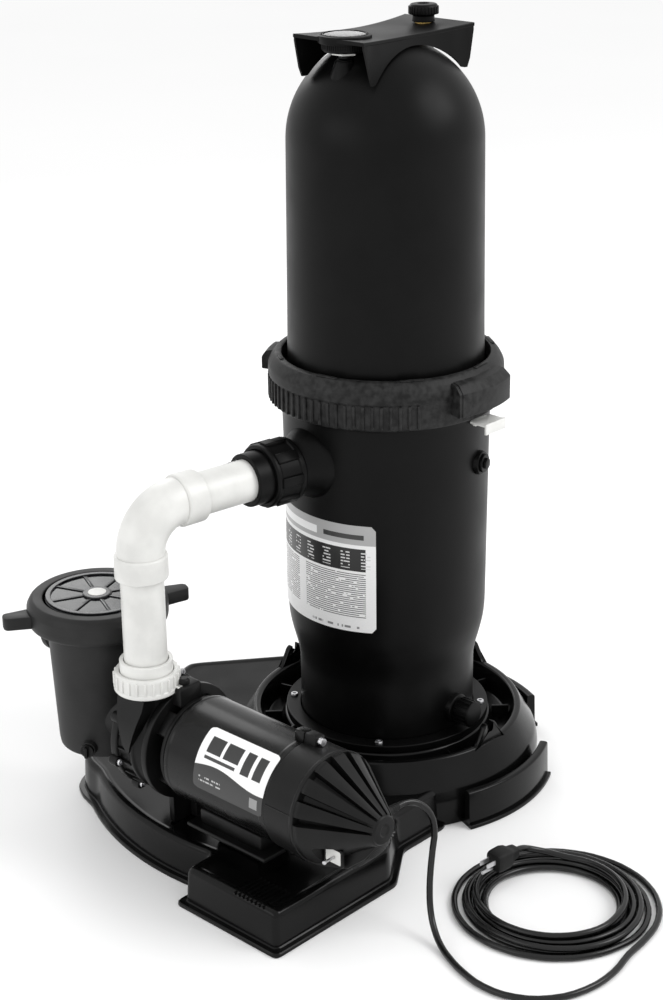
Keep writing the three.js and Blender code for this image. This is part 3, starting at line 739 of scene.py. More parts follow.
# %% Ribs on the base's block
repeated(
    "base_block_ribs", block(3, 52, 3, 0.6, 1), ON_TANK @ place(172, -472, DECK_TOP - 1),
    "root", gloss_black, count=8, step=(7.5, 0, 0),
)

# %% [markdown]
# ## Tank
# The tank is a blow-moulded vessel that narrows at its foot. A turned profile with a real wall
# gives it an inside for when the lid is lifted. The profile is rounded at its corners, so that the
# shoulder and the rim catch the light softly. The nozzles are turned shapes laid out from its axis.

# %% Tank foot ring with its screws
RING_STEPS = 128
TANK_FOOT = foot_of("tank_body")
RIM_Z = top_of("tank_body")


def foot_ring():
    low, high = foot_of("tank_foot_ring"), top_of("tank_foot_ring")
    return turned(rounded([(131.6, low), (154, low), (154, high), (131.6, high)], 2, True), RING_STEPS)


def screw_head(radius, height, recess=0.45):
    """A pan head with a hexagonal recess, standing on z = 0."""
    profile = [
        (radius, 0), (radius, height * 0.6), (radius * 0.85, height), (radius * recess, height),
        (radius * recess * 0.9, height * 0.45),
    ]
    return loft([[(x, y, z) for x, y in circle(r, 12)] for r, z in profile])


piece(
    "tank_foot_clamp", moved(foot_ring(), ON_TANK), "root", satin_black, ["tank_foot_ring"],
)
repeated(
    "foot_screws", screw_head(6, 4), ON_TANK @ place(z=top_of("tank_foot_ring") - 0.3), "root",
    plated_steel, count=4, radius=143, first=-53, angle_step=90,
)

# %% Tank wall and nozzles
FEED_Z = joint_at["inlet_union_turn"].z
# The other ports, each as an angle round the tank in degrees and a height
DRAIN = (2, joint_at["drain_cap_turn"].z)
SIDE_PLUG = (14, 510)
RETURN = (133, 250)


def tank_wall():
    outside = [
        (0, TANK_FOOT), (128, TANK_FOOT), (131, TANK_FOOT + 5), (131, 184), (134.5, 204), (141, 228),
        (145.8, 250), (147.3, 272), (150, 540), (151, 586), (156, 590), (156, RIM_Z), (145, RIM_Z),
    ]
    inside = [
        (144, 540), (141.5, 276), (140, 254), (136, 230), (129, 206), (125, 186), (125, 96), (0, 92)
    ]
    return turned(rounded([*outside, *inside], 10, steps=5), RING_STEPS)


def feed_nozzle():
    """A flared boss that runs out into a short round neck."""
    profile = [
        (0, 128), (56, 128), (52, 148), (45, 160), (38.5, 172), (36, 184), (36, 198.4), (26, 198.4)
    ]
    return turned(rounded([*profile, (26, 140), (0, 140)], 5, steps=5), 64)


def return_nozzle():
    profile = [(0, 128), (50, 128), (46, 150), (39, 165), (37, 178), (37, 196), (26, 196)]
    return turned(rounded([*profile, (26, 145), (0, 145)], 5, steps=5), 64)


def drain_boss():
    profile = [(0, 118), (24, 118), (22, 138), (15.5, 140), (15.5, 158), (10, 158), (10, 130), (0, 130)]
    return turned(rounded(profile, 1.5), 48)


def plug_boss():
    return turned(rounded([(0, 140), (19, 140), (17, 156), (9.3, 156), (9.3, 143), (0, 143)], 1.2), 40)


tank_shape = merged(
    moved(tank_wall(), ON_TANK), moved(feed_nozzle(), out_from(ON_TANK, FEED_TURN, FEED_Z)),
    moved(return_nozzle(), out_from(ON_TANK, *RETURN)), moved(drain_boss(), out_from(ON_TANK, *DRAIN)),
    moved(plug_boss(), out_from(ON_TANK, *SIDE_PLUG)),
)
piece("tank_vessel", tank_shape, "root", satin_black, ["tank_body"])

# %% Drain cap and side plug
def knurled_cap(radius, depth, bore, bore_depth, ribs):
    """A screw cap on z = 0 whose side has grip ribs."""
    profile = [(0, bore_depth), (bore, bore_depth), (bore, 0), (radius, 0), (radius, depth), (0, depth)]
    cap = turned(rounded(profile, 1.6), 64)
    grip = moved(block(2.2, 2.4, depth - 4, 0.5, 0.8), place(radius, 0, 1.5))
    return merged(cap, *(moved(grip, turn_z(360 * i / ribs)) for i in range(ribs)))


piece(
    "drain_cap_moulding",
    moved(knurled_cap(19.3, 26, 16.2, 21, 18), out_from(ON_TANK, *DRAIN) @ place(z=141)),
    "drain_cap_body", satin_black, ["drain_cap"],
)


def side_plug():
    """A flanged plug with a hexagon to turn it by."""
    flange = turned(
        rounded([(0, 144), (9, 144), (9, 156.3), (13.5, 156.3), (13.5, 160), (0, 160)], 0.8), 48
    )
    hexagon = raised(circle(8.5, 6), 159, 164, 0.8)
    return merged(flange, hexagon)


piece(
    "side_plug_moulding", moved(side_plug(), out_from(ON_TANK, *SIDE_PLUG)), "root", satin_black,
    ["tank_side_plug"],
)

# %% [markdown]
# ## Domed lid
# The lid is a tall dome with a thin wall and a turned-in foot that sits on the tank's rim. A sphere
# joined to a cylinder would show a seam in its highlight, so the whole side is one turned profile
# that runs from the foot, with a very slight draft, into the quarter circle of the dome. Two bosses
# stand on it, for the gauge and for the air relief valve.

# %% Domed lid
LID_FOOT = foot_of("tank_lid")
DOME_R = 138
DOME_Z = 963
GAUGE = joint_at["gauge_needle_sweep"]
RELIEF = joint_at["air_relief_turn"]
ON_GAUGE = place(GAUGE.x, GAUGE.y)
ON_RELIEF = place(RELIEF.x, RELIEF.y)


def dome_arc(radius, start, end, steps):
    """The dome's quarter circle as (radius, height) points."""
    return [(r, DOME_Z + rise) for r, rise in arc(radius, start, end, steps)]


def lid_wall():
    foot = rounded(
        [(136, LID_FOOT), (156, LID_FOOT), (156, 632), (147, 633.5), (141.6, 645), (140.5, 720)], 3
    )
    outside = dome_arc(DOME_R, 0, 88, 32)
    inside = dome_arc(DOME_R - 5, 88, 0, 24)
    return turned(
        [*foot, *outside, (0.5, DOME_Z + DOME_R), (0.5, DOME_Z + DOME_R - 5), *inside], RING_STEPS
    )


def dome_boss(radius, top, reach):
    """A short post whose flared root sinks into the dome."""
    height = DOME_Z + math.sqrt(DOME_R ** 2 - reach ** 2)
    profile = [
        (0, height - 22), (radius + 12, height - 22), (radius + 2, height + 4), (radius, top), (0, top)
    ]
    return turned(rounded(profile, 3), 40)


lid_shape = merged(
    moved(lid_wall(), ON_TANK),
    moved(dome_boss(11, 1081.5, GAUGE.y - TANK.y), ON_GAUGE),
    moved(dome_boss(11, 1097.5, RELIEF.y - TANK.y), ON_RELIEF),
)
piece("lid_dome", lid_shape, "lid", satin_black, ["tank_lid"])

# %% [markdown]
# ## Lock ring
# A heavy threaded ring clamps the lid down. It has a band of upright grip ribs on the side that
# faces the pump, a large hooded lug with a pocket for the catch, and a smaller grip behind. The
# ring is turned, the lugs are outlines swept round an arc, and the ribs come from the repeat tree.

# %% Lock ring
RING_FOOT = foot_of("lock_ring")
RING_TOP = top_of("lock_ring")


def lock_ring():
    profile = [
        (158, RING_FOOT), (166.5, RING_FOOT), (168, RING_FOOT + 6), (168, 627), (170, 630),
        (169.5, 643), (165, 652), (159, RING_TOP - 1), (150, RING_TOP), (149.5, 652), (149.5, 636),
        (158, 634),
    ]
    return turned(rounded(profile, 3, True), RING_STEPS)


def ring_lug():
    """The hood over the catch: a thick block with a sloped top, open underneath."""
    section = [
        (160, 608), (163, 608), (163, 640), (182, 636), (182, 608), (188, 606), (188, 640), (178, 651),
        (160, 653)
    ]
    return swept_arc(rounded(section, 2, True, 3), -14, 20, 24)


def lug_cheek(angle):
    """A web that closes one end of the hood."""
    section = [(160, 606), (187, 606), (187, 640), (177, 650), (160, 652)]
    return swept_arc(rounded(section, 2, True, 3), angle, angle + 2, 3)


def ring_grip():
    section = [(164, 622), (181, 624), (181, 642), (174, 651), (164, 652)]
    return swept_arc(rounded(section, 2, True, 3), -159, -144, 10)


ring_shape = merged(lock_ring(), ring_lug(), lug_cheek(-15.5), lug_cheek(19), ring_grip())
piece(
    "lock_ring_moulding", moved(ring_shape, ON_TANK), "lock_ring_body", ring_grey, ["lock_ring"],
)
repeated(
    "lock_ring_ribs", block(5, 4.6, 34, 1.4, 1.6), ON_TANK @ place(z=RING_FOOT + 3),
    "lock_ring_body", ring_grey, count=34, radius=168, first=-178, angle_step=4.4,
)
repeated(
    "lock_ring_pads", block(6, 34, 2, 0.7, 2.8),
    ON_TANK @ place(z=RING_TOP - 1.1), "lock_ring_body", ring_grey, count=8, radius=155,
    first=10, angle_step=45,
)

# %% [markdown]
# ## Catch
# The white catch is a plastic strip that springs down to let the ring turn: a flat arm, a
# downturned tab at its tip and a root on the tank. Three moulded blocks that meet at the bends give
# it crisper edges than a bent sheet would have.

# %% Catch
def catch_arm():
    arm = moved(block(31, 44, 3.6, 1, 3), place(171.5, 22, 580.6))
    tab = moved(block(3.6, 44, 16, 1, 1.2), place(185, 22, 569.6))
    root = moved(block(6, 26, 10, 1, 1), place(157.5, 22, 574.6))
    return merged(arm, tab, root)


piece("catch_strip", moved(catch_arm(), ON_TANK), "latch", white_pvc, ["lock_latch"])

# %% [markdown]
# ## Top cover
# A saddle-shaped cover bridges the gauge and the air relief valve. Its plate narrows and dips at the
# waist, and a skirt hangs from its edge down to the dome, so the skirt's lower edge is an arch. The
# skirt is a strip along the plate's edge whose foot is worked out from the dome below it and slants
# up at both ends.

# %% Top cover
SADDLE_Z = 1107.6
SADDLE_END = 113
SKIRT_LOW = 1054


def saddle_half_width(y):
    """The plate is widest at its ends and narrows smoothly to a waist."""
    return 52 + 12 * abs(y / SADDLE_END) ** 1.6


def dome_height(x, y, clearance=3):
    return DOME_Z + math.sqrt(max(0, (DOME_R + clearance) ** 2 - x * x - y * y))


def saddle_level(y):
    """The plate's underside, which dips a little between the two ends."""
    return SADDLE_Z - 4 * (1 - (y / SADDLE_END) ** 2)


def saddle_plate():
    rings = []
    for i in range(33):
        y = SADDLE_END * (2 * i / 32 - 1)
        half, low = saddle_half_width(y), saddle_level(y)
        section = [(-half, low), (half, low), (half, low + 5.2), (-half, low + 5.2)]
        rings.append([(x, y, z) for x, z in rounded(section, 1.5, True)])
    return loft(rings)


def saddle_skirt(side):
    """The skirt on one long side, as rings along the plate's edge."""
    rings = []
    for i in range(49):
        y = -SADDLE_END + 1 + (2 * SADDLE_END - 2) * i / 48
        outer = saddle_half_width(y) - 0.5
        slant = SADDLE_Z - 4 * (SADDLE_END - abs(y))
        foot = min(saddle_level(y) - 1, max(SKIRT_LOW, slant, dome_height(outer, y)))
        flare = 3.5 * min(1, (SADDLE_Z - foot) / 40)
        section = [
            (outer, saddle_level(y) + 2), (outer + flare, foot), (outer + flare - 3, foot),
            (outer - 3.2, saddle_level(y) + 2),
        ]
        rings.append([(side * x, y, z) for x, z in section])
    return loft(rings)


def gauge_rim():
    """A raised bezel in the plate round the gauge's dial."""
    rim = [(31.8, SADDLE_Z - 4), (36.5, SADDLE_Z - 4), (36.5, SADDLE_Z + 6.4), (31.8, SADDLE_Z + 7.4)]
    return turned(rounded(rim, 1.2, True), 72)


cover_shape = merged(
    moved(merged(saddle_plate(), saddle_skirt(1), saddle_skirt(-1)), ON_TANK),
    moved(gauge_rim(), ON_GAUGE),
)
piece("saddle_cover", cover_shape, "lid", satin_black, ["top_cover"])

# %% [markdown]
# ## Pressure gauge
# The gauge has a knurled case, a white dial with evenly spaced ticks, and a clear lens over the
# plain needle of the CAD model. The ticks are real little bars, repeated over three quarters of a
# turn.

# %% Pressure gauge
DIAL_Z = top_of("gauge_needle") - 3.5


def gauge_case():
    profile = [
        (0, 1050), (4.2, 1050), (4.2, 1082), (9, 1082), (9, 1092), (29, 1092), (31, 1094), (31, 1114),
        (30, 1115.5), (28.8, 1115), (28.8, DIAL_Z), (0, DIAL_Z),
    ]
    return turned(rounded(profile, 0.9), 72)


piece("gauge_case", moved(gauge_case(), ON_GAUGE), "lid", satin_black, ["gauge_body"])
repeated(
    "gauge_knurl", block(1.6, 1.8, 13, 0.4, 0.5), ON_GAUGE @ place(z=1095.5), "lid", satin_black,
    count=60, radius=31, angle_step=6,
)
piece(
    "gauge_dial",
    moved(turned([(0, 0), (28.4, 0), (28.4, 0.5), (0, 0.5)], 64), ON_GAUGE @ place(z=DIAL_Z)),
    "lid", white_pvc,
)
repeated(
    "gauge_ticks", block(4, 0.8, 0.3, 0.1, 0.2), ON_GAUGE @ place(z=DIAL_Z + 0.4), "lid", satin_black,
    count=19, radius=23, first=-45, angle_step=15,
)
lens = rounded([(0, 1112), (28.2, 1112), (28.2, 1114.4), (22, 1115.2), (0, 1115.4)], 0.6)
piece(
    "gauge_window", moved(turned(lens, 64), ON_GAUGE), "lid", gauge_glass, ["gauge_lens"],
)
piece(
    "gauge_nut", moved(raised(circle(18.5, 6), 1087.6, 1091.7, 0.6), ON_GAUGE), "lid", white_pvc,
    ["gauge_collar"],
)

# %% [markdown]
# ## Air relief valve
# A knob with a knurled rim and a domed cap turns a brass valve. The knob stands higher than
# anything else, so its top sets the height of the whole.

# %% Air relief knob
KNOB_TOP = top_of("air_relief_knob")


def relief_knob():
    profile = [
        (0, 1112.4), (16, 1112.4), (15, 1121), (20.2, 1123), (20.2, 1133), (18, KNOB_TOP - 0.6),
        (9, KNOB_TOP), (8, KNOB_TOP - 2), (0, KNOB_TOP - 2),
    ]
    return turned(rounded(profile, 1.4), 64)


piece(
    "relief_knob_cap", moved(relief_knob(), ON_RELIEF), "relief_knob", satin_black, ["air_relief_knob"],
)
repeated(
    "relief_knob_grip", block(1.7, 2.4, 10.5, 0.5, 0.6), ON_RELIEF @ place(z=1122.8), "relief_knob",
    satin_black, count=28, radius=20.3, angle_step=360 / 28,
)

# %% [markdown]
# ## Unions
# A union joins a pipe to a threaded neck: a tail with a flange, and a nut that draws the flange to
# a seal. The tank's union is black, with eight broad wrench lugs. The pump's is white, with narrow
# ribs between two plain bands. Both nuts are hollow turned shells, since they turn round their tails.

# %% Tank union
ON_FEED = out_from(ON_TANK, FEED_TURN, FEED_Z)


def tank_union_nut():
    profile = [
        (38, 180), (44.5, 180), (46, 182.5), (46, 190), (44, 191), (44, 223), (45.5, 224), (45.5, 229),
        (44, 232), (39, 232), (39, 210), (41, 210), (41, 184), (38, 184),
    ]
    return turned(rounded(profile, 0.8, True), 72)


piece(
    "tank_union_nut_shell", moved(tank_union_nut(), ON_FEED), "inlet_nut", satin_black,
    ["inlet_union_nut"]
)
repeated(
    "tank_union_lugs", block(7.4, 15, 36, 1.6, 2), ON_FEED @ place(z=189), "inlet_nut", satin_black,
    count=8, radius=44.4, angle_step=45,
)


def tank_union_tail():
    profile = [
        (26, 202), (40, 202), (40, 207), (38, 208.5), (38, 257), (30.6, 257), (30.6, 222), (26, 222),
    ]
    return turned(rounded(profile, 1.2, True), 72)


piece(
    "tank_union_sleeve", moved(tank_union_tail(), ON_FEED), "root", satin_black, ["inlet_union_tail"],
)

# %% Pump union
UNION_LOW = foot_of("discharge_union_nut")
UNION_TOP = top_of("discharge_union_nut")


def pump_union_nut():
    profile = [
        (37.5, UNION_LOW), (44.8, UNION_LOW), (46, UNION_LOW + 2), (46, 266), (44.6, 267.2),
        (44.6, 284), (43.4, UNION_TOP), (38.1, UNION_TOP), (38.1, 279), (42.2, 278), (42.2, 268),
        (37.5, 267),
    ]
    return turned(rounded(profile, 0.8, True), 72)


piece(
    "pump_union_nut_shell", moved(pump_union_nut(), ON_RISER), "discharge_nut", white_pvc,
    ["discharge_union_nut"],
)
repeated(
    "pump_union_ribs", block(4.2, 3.4, 18.5, 0.9, 1), ON_RISER @ place(z=266.4), "discharge_nut",
    white_pvc, count=24, radius=44.8, angle_step=15,
)


def pump_union_tail():
    profile = [
        (26, 271.3), (41, 271.3), (41, 277), (37, 278.5), (37, 304), (31.2, 304), (31.2, 290),
        (26, 290),
    ]
    return turned(rounded(profile, 1.4, True), 72)


piece(
    "pump_union_sleeve", moved(pump_union_tail(), ON_RISER), "root", white_pvc,
    ["discharge_union_tail"],
)

# %% [markdown]
# ## White pipe and elbow
# The pipe is 2 inch PVC, and the elbow is a long sweep with a socket at each end. The elbow's
# outside is a ring swept along a quarter circle, and the sockets are turned collars whose ends have
# the small chamfer that guides the pipe in.

# %% Pipes
PIPE_R = 30.15
SWEEP_R = 60
SOCKET = 34
ELBOW = ON_RISER @ place(z=FEED_Z) @ turn_z(math.degrees(math.atan2(*(TANK - RISER).yx)))


def pipe(length):
    return turned(rounded([(26, 0), (PIPE_R, 0), (PIPE_R, length), (26, length)], 0.8, True), 72)


riser_low, riser_high = foot_of("pipe_vertical"), top_of("pipe_vertical")
piece(
    "riser_pipe", moved(pipe(riser_high - riser_low), ON_RISER @ place(z=riser_low)), "root", white_pvc,
    ["pipe_vertical"],
)
# Where the feed pipe starts in the tank's union and ends in the elbow, from the tank's axis
feed_start, feed_end = 222.4, 356
piece(
    "feed_pipe", moved(pipe(feed_end - feed_start), ON_FEED @ place(z=feed_start)), "root", white_pvc,
    ["pipe_horizontal"]
)


def swept_bend(radius, steps=28):
    """The curved part of the elbow, from its lower collar to its level one."""
    rings = []
    for i in range(steps + 1):
        angle = math.pi / 2 * i / steps
        centre = Vector((SWEEP_R - SWEEP_R * math.cos(angle), 0, SWEEP_R * math.sin(angle) - SWEEP_R))
        across = Vector((math.cos(angle), 0, -math.sin(angle)))
        rings.append([centre + across * x + Vector((0, y, 0)) for x, y in circle(radius, 64)])
    return loft(rings)


def collar():
    """A socket that opens at z = 0 and meets the bend at its far end."""
    profile = [
        (30.6, 0), (36.2, 0), (37, 1.2), (37, SOCKET - 3), (35.6, SOCKET - 0.5), (33, SOCKET),
        (30.6, SOCKET),
    ]
    return turned(rounded(profile, 0.8, True), 72)


upper = place(x=SWEEP_R + SOCKET) @ LEVEL @ Matrix.Rotation(math.pi, 4, "X")
elbow_shape = merged(
    swept_bend(33.5), moved(collar(), place(z=-SWEEP_R - SOCKET)), moved(collar(), upper)
)
piece("sweep_elbow", moved(elbow_shape, ELBOW), "root", white_pvc, ["pipe_elbow"])

# %% [markdown]
# ## Strainer pot
# The pot is a tapered cup with a collar at its top, a spout for the suction pipe and a bridge that
# leads to the pump. Its ring is a smooth collar with two handles, and the lid is a smoke-tinted
# disc with eight ribs that fan out from a round hub, where a white badge sits.

# %% Strainer pot
POT_RIM = top_of("strainer_pot")
SUCTION_Z = 262


def pot_cup():
    outside = [
        (0, 112), (57, 112), (64.5, 116), (66, 126), (73.6, 296), (80, 303), (88, 306), (88, POT_RIM),
        (80, POT_RIM),
    ]
    inside = [(80, 318), (69, 296), (60, 124), (57, 117), (0, 117)]
    return turned(rounded([*outside, *inside], 3), 96)


def pot_spout():
    """The suction port, with a thick lip where the pipe goes in."""
    profile = [(0, 56), (30.5, 56), (30.5, 84), (33, 85), (33, 96), (25, 96), (25, 70), (0, 70)]
    return turned(rounded(profile, 1.5), 64)


def pot_bridge():
    # Half a millimetre short of the volute's flange
    end = SHAFT.x - 93.5 - POT.x
    return turned(
        rounded([(0, 50), (44, 50), (37, 70), (36, end), (26, end), (26, 64), (0, 64)], 3), 64
    )


def pot_drain():
    return turned(rounded([(0, 56), (12.5, 56), (11, 75), (6.4, 75.5), (6.4, 62), (0, 62)], 1), 32)


POT_DRAIN = (-60, joint_at["pot_drain_turn"].z)
pot_shape = merged(
    moved(pot_cup(), ON_POT), moved(pot_spout(), out_from(ON_POT, 180, SUCTION_Z)),
    moved(pot_bridge(), out_from(ON_POT, 0, SHAFT.z)),
    moved(pot_drain(), out_from(ON_POT, *POT_DRAIN)),
)
piece("pot_cup", pot_shape, "root", pot_black, ["strainer_pot"])


def pot_plug():
    """A screw plug with a bar across its head."""
    plug = [(0, 62), (5.7, 62), (5.7, 76.3), (10, 76.3), (10, 80), (0, 80)]
    bar = moved(block(17, 5, 6, 1, 1.5), place(z=80))
    return merged(turned(rounded(plug, 0.7), 32), bar)


piece(
    "pot_plug", moved(pot_plug(), out_from(ON_POT, *POT_DRAIN)), "pot_plug", pump_black,
    ["pot_drain_plug"],
)

# %% Strainer lid
LID_Z = foot_of("strainer_lid")
LID_TOP = top_of("strainer_lid")


def strainer_lid():
    profile = [
        (0, LID_Z), (87, LID_Z), (87, 337), (76, 338.5), (74, LID_TOP - 4), (71, LID_TOP - 3),
        (0, LID_TOP - 3)
    ]
    return turned(rounded(profile, 1.2), 96)


piece(
    "strainer_lid_disc", moved(strainer_lid(), ON_POT), "strainer_cover", smoky_lid, ["strainer_lid"],
)
repeated(
    "strainer_lid_ribs", moved(block(48, 5, 2.6, 0.6, 0.8), place(x=44)), ON_POT @ place(z=LID_TOP - 4),
    "strainer_cover", smoky_lid, count=8, first=20, angle_step=45,
)


def lid_hub():
    """The post in the middle of the lid, and the raised rim at its edge."""
    low, high = LID_TOP - 4, LID_TOP - 0.5
    post = [(0, low), (21, low), (21, LID_TOP - 0.6), (19, LID_TOP), (0, LID_TOP)]
    rim = [(66, low), (73.5, low), (73.5, high), (66, high)]
    return merged(turned(rounded(post, 0.8), 48), turned(rounded(rim, 1, True), 96))


piece("strainer_lid_hub", moved(lid_hub(), ON_POT), "strainer_cover", smoky_lid)

badge = turned(
    rounded([(0, LID_TOP - 1), (13, LID_TOP - 1), (13, LID_TOP + 0.6), (0, LID_TOP + 0.6)], 0.4), 48
)
piece("strainer_lid_badge", moved(badge, ON_POT), "strainer_cover", white_pvc)

# %% Strainer lock ring
def pot_ring():
    profile = [
        (89.2, 306), (97.5, 306), (100, 310), (101, 316), (101, 333), (97, 341), (92, 345), (78, 345),
        (77.5, 341.5), (89.2, 339),
    ]
    return turned(rounded(profile, 2, True), 96)


def ring_handle(angle):
    """A tapered handle that grows out of the ring."""
    outline = [(92, -17), (118, -13), (133, -11), (137, -6), (137, 6), (133, 11), (118, 13), (92, 17)]
    body = raised(rounded(outline, 3, True), 311, 330, 2)
    return moved(body, turn_z(angle))


ring = merged(pot_ring(), ring_handle(-118), ring_handle(68))
piece(
    "pot_ring", moved(ring, ON_POT), "strainer_ring", pot_black, ["strainer_lock_ring"]
)

# %% [markdown]
# ## Wet end of the pump
# The volute is the pump's spiral casing. From outside it is a drum between two flanges with bolt
# tabs, and a neck that rises from it to the union, stiffened by a web that tapers into the drum.
# Behind it a bracket with four arms holds the motor off, so a dark gap shows between them.

# %% Volute
FLANGE_FRONT = -93
SPIRAL_BACK = -30


def volute_drum():
    profile = [
        (0, FLANGE_FRONT), (84, FLANGE_FRONT), (84, -81), (78.5, -80), (78, -60), (80.5, -58),
        (80.5, -52), (77, -50), (72, -36), (66, SPIRAL_BACK), (0, SPIRAL_BACK),
    ]
    return turned(rounded(profile, 2), 96)


def volute_neck():
    """The neck and its threaded collar, standing on the drum."""
    collar_z = UNION_LOW + GAP
    profile = [
        (0, 190), (34, 190), (31, 215), (29.5, 240), (30, collar_z - 9), (36, collar_z - 3),
        (36, 267.8), (0, 267.8),
    ]
    return moved(turned(rounded(profile, 4), 64), ON_RISER)


def neck_web():
    """A wedge on the near side of the neck that narrows as it runs down over the drum."""
    rings = []
    for height, half, depth in (
        (256, 27, 31), (240, 25, 35), (222, 20, 41), (204, 14, 44), (186, 8, 45), (174, 3, 43)
    ):
        outline = [(-half, -depth), (half, -depth), (half + 3, 0), (-half - 3, 0)]
        rings.append([(x, y, height) for x, y in outline])
    return moved(loft(rings), ON_RISER)


def flange_tab(angle):
    """A boss on the flange's edge for one bolt."""
    boss = turned(rounded([(0, 0), (8, 0), (8, 15), (0, 15)], 1.5), 20)
    return moved(boss, ON_SHAFT @ turn_z(angle) @ place(84, 0, FLANGE_FRONT - 0.5))


volute_shape = merged(
    moved(volute_drum(), ON_SHAFT), volute_neck(), neck_web(),
    *(flange_tab(angle) for angle in range(15, 360, 45) if angle not in (150, 195)),
)
piece("volute_casing", volute_shape, "root", pump_black, ["volute"])
repeated(
    "volute_ribs", block(13, 3, 22, 0.8, 1), ON_SHAFT @ place(z=-80), "root", pump_black,
    count=24, radius=75.5, angle_step=15,
)
repeated(
    "volute_bolts", screw_head(5, 4), ON_SHAFT @ place(z=-78.8), "root", plated_steel, count=7,
    radius=84, first=-75, angle_step=45,
)

# %% Motor bracket
BRACKET_FRONT = -29.7
BRACKET_BACK = 1.7


def bracket():
    """Two rings joined by four arms, with a foot that stands on the deck."""
    front = turned(
        rounded([(14, BRACKET_FRONT), (84, BRACKET_FRONT), (84, -20), (14, -20)], 2, True), 96
    )
    back = turned(rounded([(26, -5), (71, -5), (71, BRACKET_BACK), (26, BRACKET_BACK)], 1.5, True), 96)
    arm = moved(block(18, 36, 27, 2, 3), place(60, 0, BRACKET_FRONT + 2))
    arms = [moved(arm, turn_z(angle)) for angle in (45, 135, 225, 315)]
    reach = SHAFT.z - DECK_TOP - GAP
    foot = moved(block(reach - 60, 72, 10, 1.5, 4), place((reach + 60) / 2, 0, BRACKET_FRONT))
    brace = moved(block(reach - 66, 8, 22, 1.5, 2), place((reach + 66) / 2, 0, BRACKET_FRONT))
    return merged(front, back, *arms, foot, brace)


def clamp():
    """The upper clamp behind the neck, with its knob."""
    jaw = moved(block(30, 40, 24, 2.5, 5), place(-80, -8, BRACKET_FRONT + 1))
    knob = moved(
        turned(rounded([(0, 0), (8, 0), (8, 9), (6, 11), (0, 11)], 1.2), 24),
        place(-92, -10, BRACKET_FRONT + 13) @ LEVEL.inverted()
    )
    return merged(jaw, knob)


bracket_shape = moved(merged(bracket(), clamp()), ON_SHAFT)
piece("bracket_casting", bracket_shape, "root", pump_black, ["motor_bracket"])

# %% [markdown]
# ## Motor
# The motor shell is a drawn tube with a rolled edge at each end. The rear cover fits over its
# end: a short drum, then a cone whose upper half opens in broad louvres between raised panels, with
# a smooth quarter on the near side for the switch. The fins underneath are finer. A cone with slots
# cut in it would need many cuts, so the open cone is a dark core with the panels swept over it. Only
# the pocket for the switch is cut, because it is square and runs through both.

# %% Motor shell
MOTOR_R = 75
SEAM = 200


def motor_tube():
    profile = [
        (0, 2), (66, 2), (72, 3), (MOTOR_R, 7), (MOTOR_R, 12), (MOTOR_R - 0.6, 14),
        (MOTOR_R - 0.6, 188), (MOTOR_R, 190), (MOTOR_R, SEAM), (0, SEAM),
    ]
    return turned(rounded(profile, 1.2), 128)


def bolt_lug(angle, start, end):
    """A boss on the drum that one of the long bolts runs through."""
    boss = moved(block(17, 18, end - start, 2, 3), place(81, 0, start))
    return moved(boss, turn_z(angle))


LUG_ANGLES = (172, 352)
tube_shape = merged(motor_tube(), *(bolt_lug(angle, 183, SEAM - GAP) for angle in LUG_ANGLES))
piece("motor_tube", moved(tube_shape, ON_SHAFT), "root", motor_enamel, ["motor_shell"])

# %% Rear cover
CONE = 250
HUB = 345
NEAR_SIDE = (266, 330)


def cover_core():
    """The drum of the cover and the dark inner cone behind its louvres."""
    drum = [
        (0, SEAM + GAP), (76, SEAM + GAP), (76, CONE - 4), (77.2, CONE - 2), (77.2, CONE + 3),
        (64, CONE + 3)
    ]
    cone = [(18, HUB - 14), (0, HUB - 14)]
    return turned(rounded([*drum, *cone], 1.2), 128)


def cone_panel(start, end, lift=0.0):
    """A raised panel of the cone, from its rim to the hub, between two angles."""
    section = [
        (60, CONE), (76.5, CONE), (76, CONE + 8 + lift), (22, HUB - 3), (16, HUB - 3), (16, HUB - 14)
    ]
    return swept_arc(rounded(section, 1.5, True, 3), start, end, max(3, int((end - start) / 4)))


def hub():
    profile = [
        (0, HUB - 16), (21, HUB - 16), (21, HUB - 3), (19, HUB - 0.6), (9, HUB), (7, HUB - 1.5),
        (0, HUB - 1.5)
    ]
    return turned(rounded(profile, 0.8), 48)


# The panels between the louvres, in degrees round the shaft
PANEL_STARTS = range(116, 266, 25)
PANEL_WIDTH = 16
upper_panels = [cone_panel(start, start + PANEL_WIDTH) for start in PANEL_STARTS]
near_panel = cone_panel(*NEAR_SIDE, 2)
far_panel = cone_panel(66, 107)


def parting_line():
    """A thin raised line where the two halves of the mould met."""
    line = moved(block(1.6, 1.4, CONE - SEAM - 2, 0.4, 0.4), place(76, 0, SEAM + 1))
    return merged(moved(line, turn_z(258)), moved(line, turn_z(100)))


# The pocket for the switch is a block that reaches out through the smooth quarter of the cover.
plate_low, plate_high = corners_of("switch_plate")
plate_centre = (plate_low + plate_high) / 2
PLATE_WIDTH, PLATE_HEIGHT = plate_high.x - plate_low.x, plate_high.z - plate_low.z
FACING_PUMP_FRONT = Matrix.Rotation(math.radians(90), 4, "X")
switch_place = Matrix.Translation((plate_centre.x, plate_high.y, plate_centre.z)) @ FACING_PUMP_FRONT
POCKET_MARGIN = 10
BEZEL_MARGIN = 7
switch_pocket = block(PLATE_WIDTH + POCKET_MARGIN, PLATE_HEIGHT + POCKET_MARGIN, 50, 1, 4)

cover_shape = merged(
    cover_core(), hub(), near_panel, far_panel, *upper_panels, parting_line(),
    *(bolt_lug(angle, SEAM + 0.4, SEAM + 21) for angle in LUG_ANGLES),
)
cover_shape = carved(moved(cover_shape, ON_SHAFT), moved(switch_pocket, switch_place))
piece("motor_cover", cover_shape, "root", pump_black, ["motor_rear_cover"])


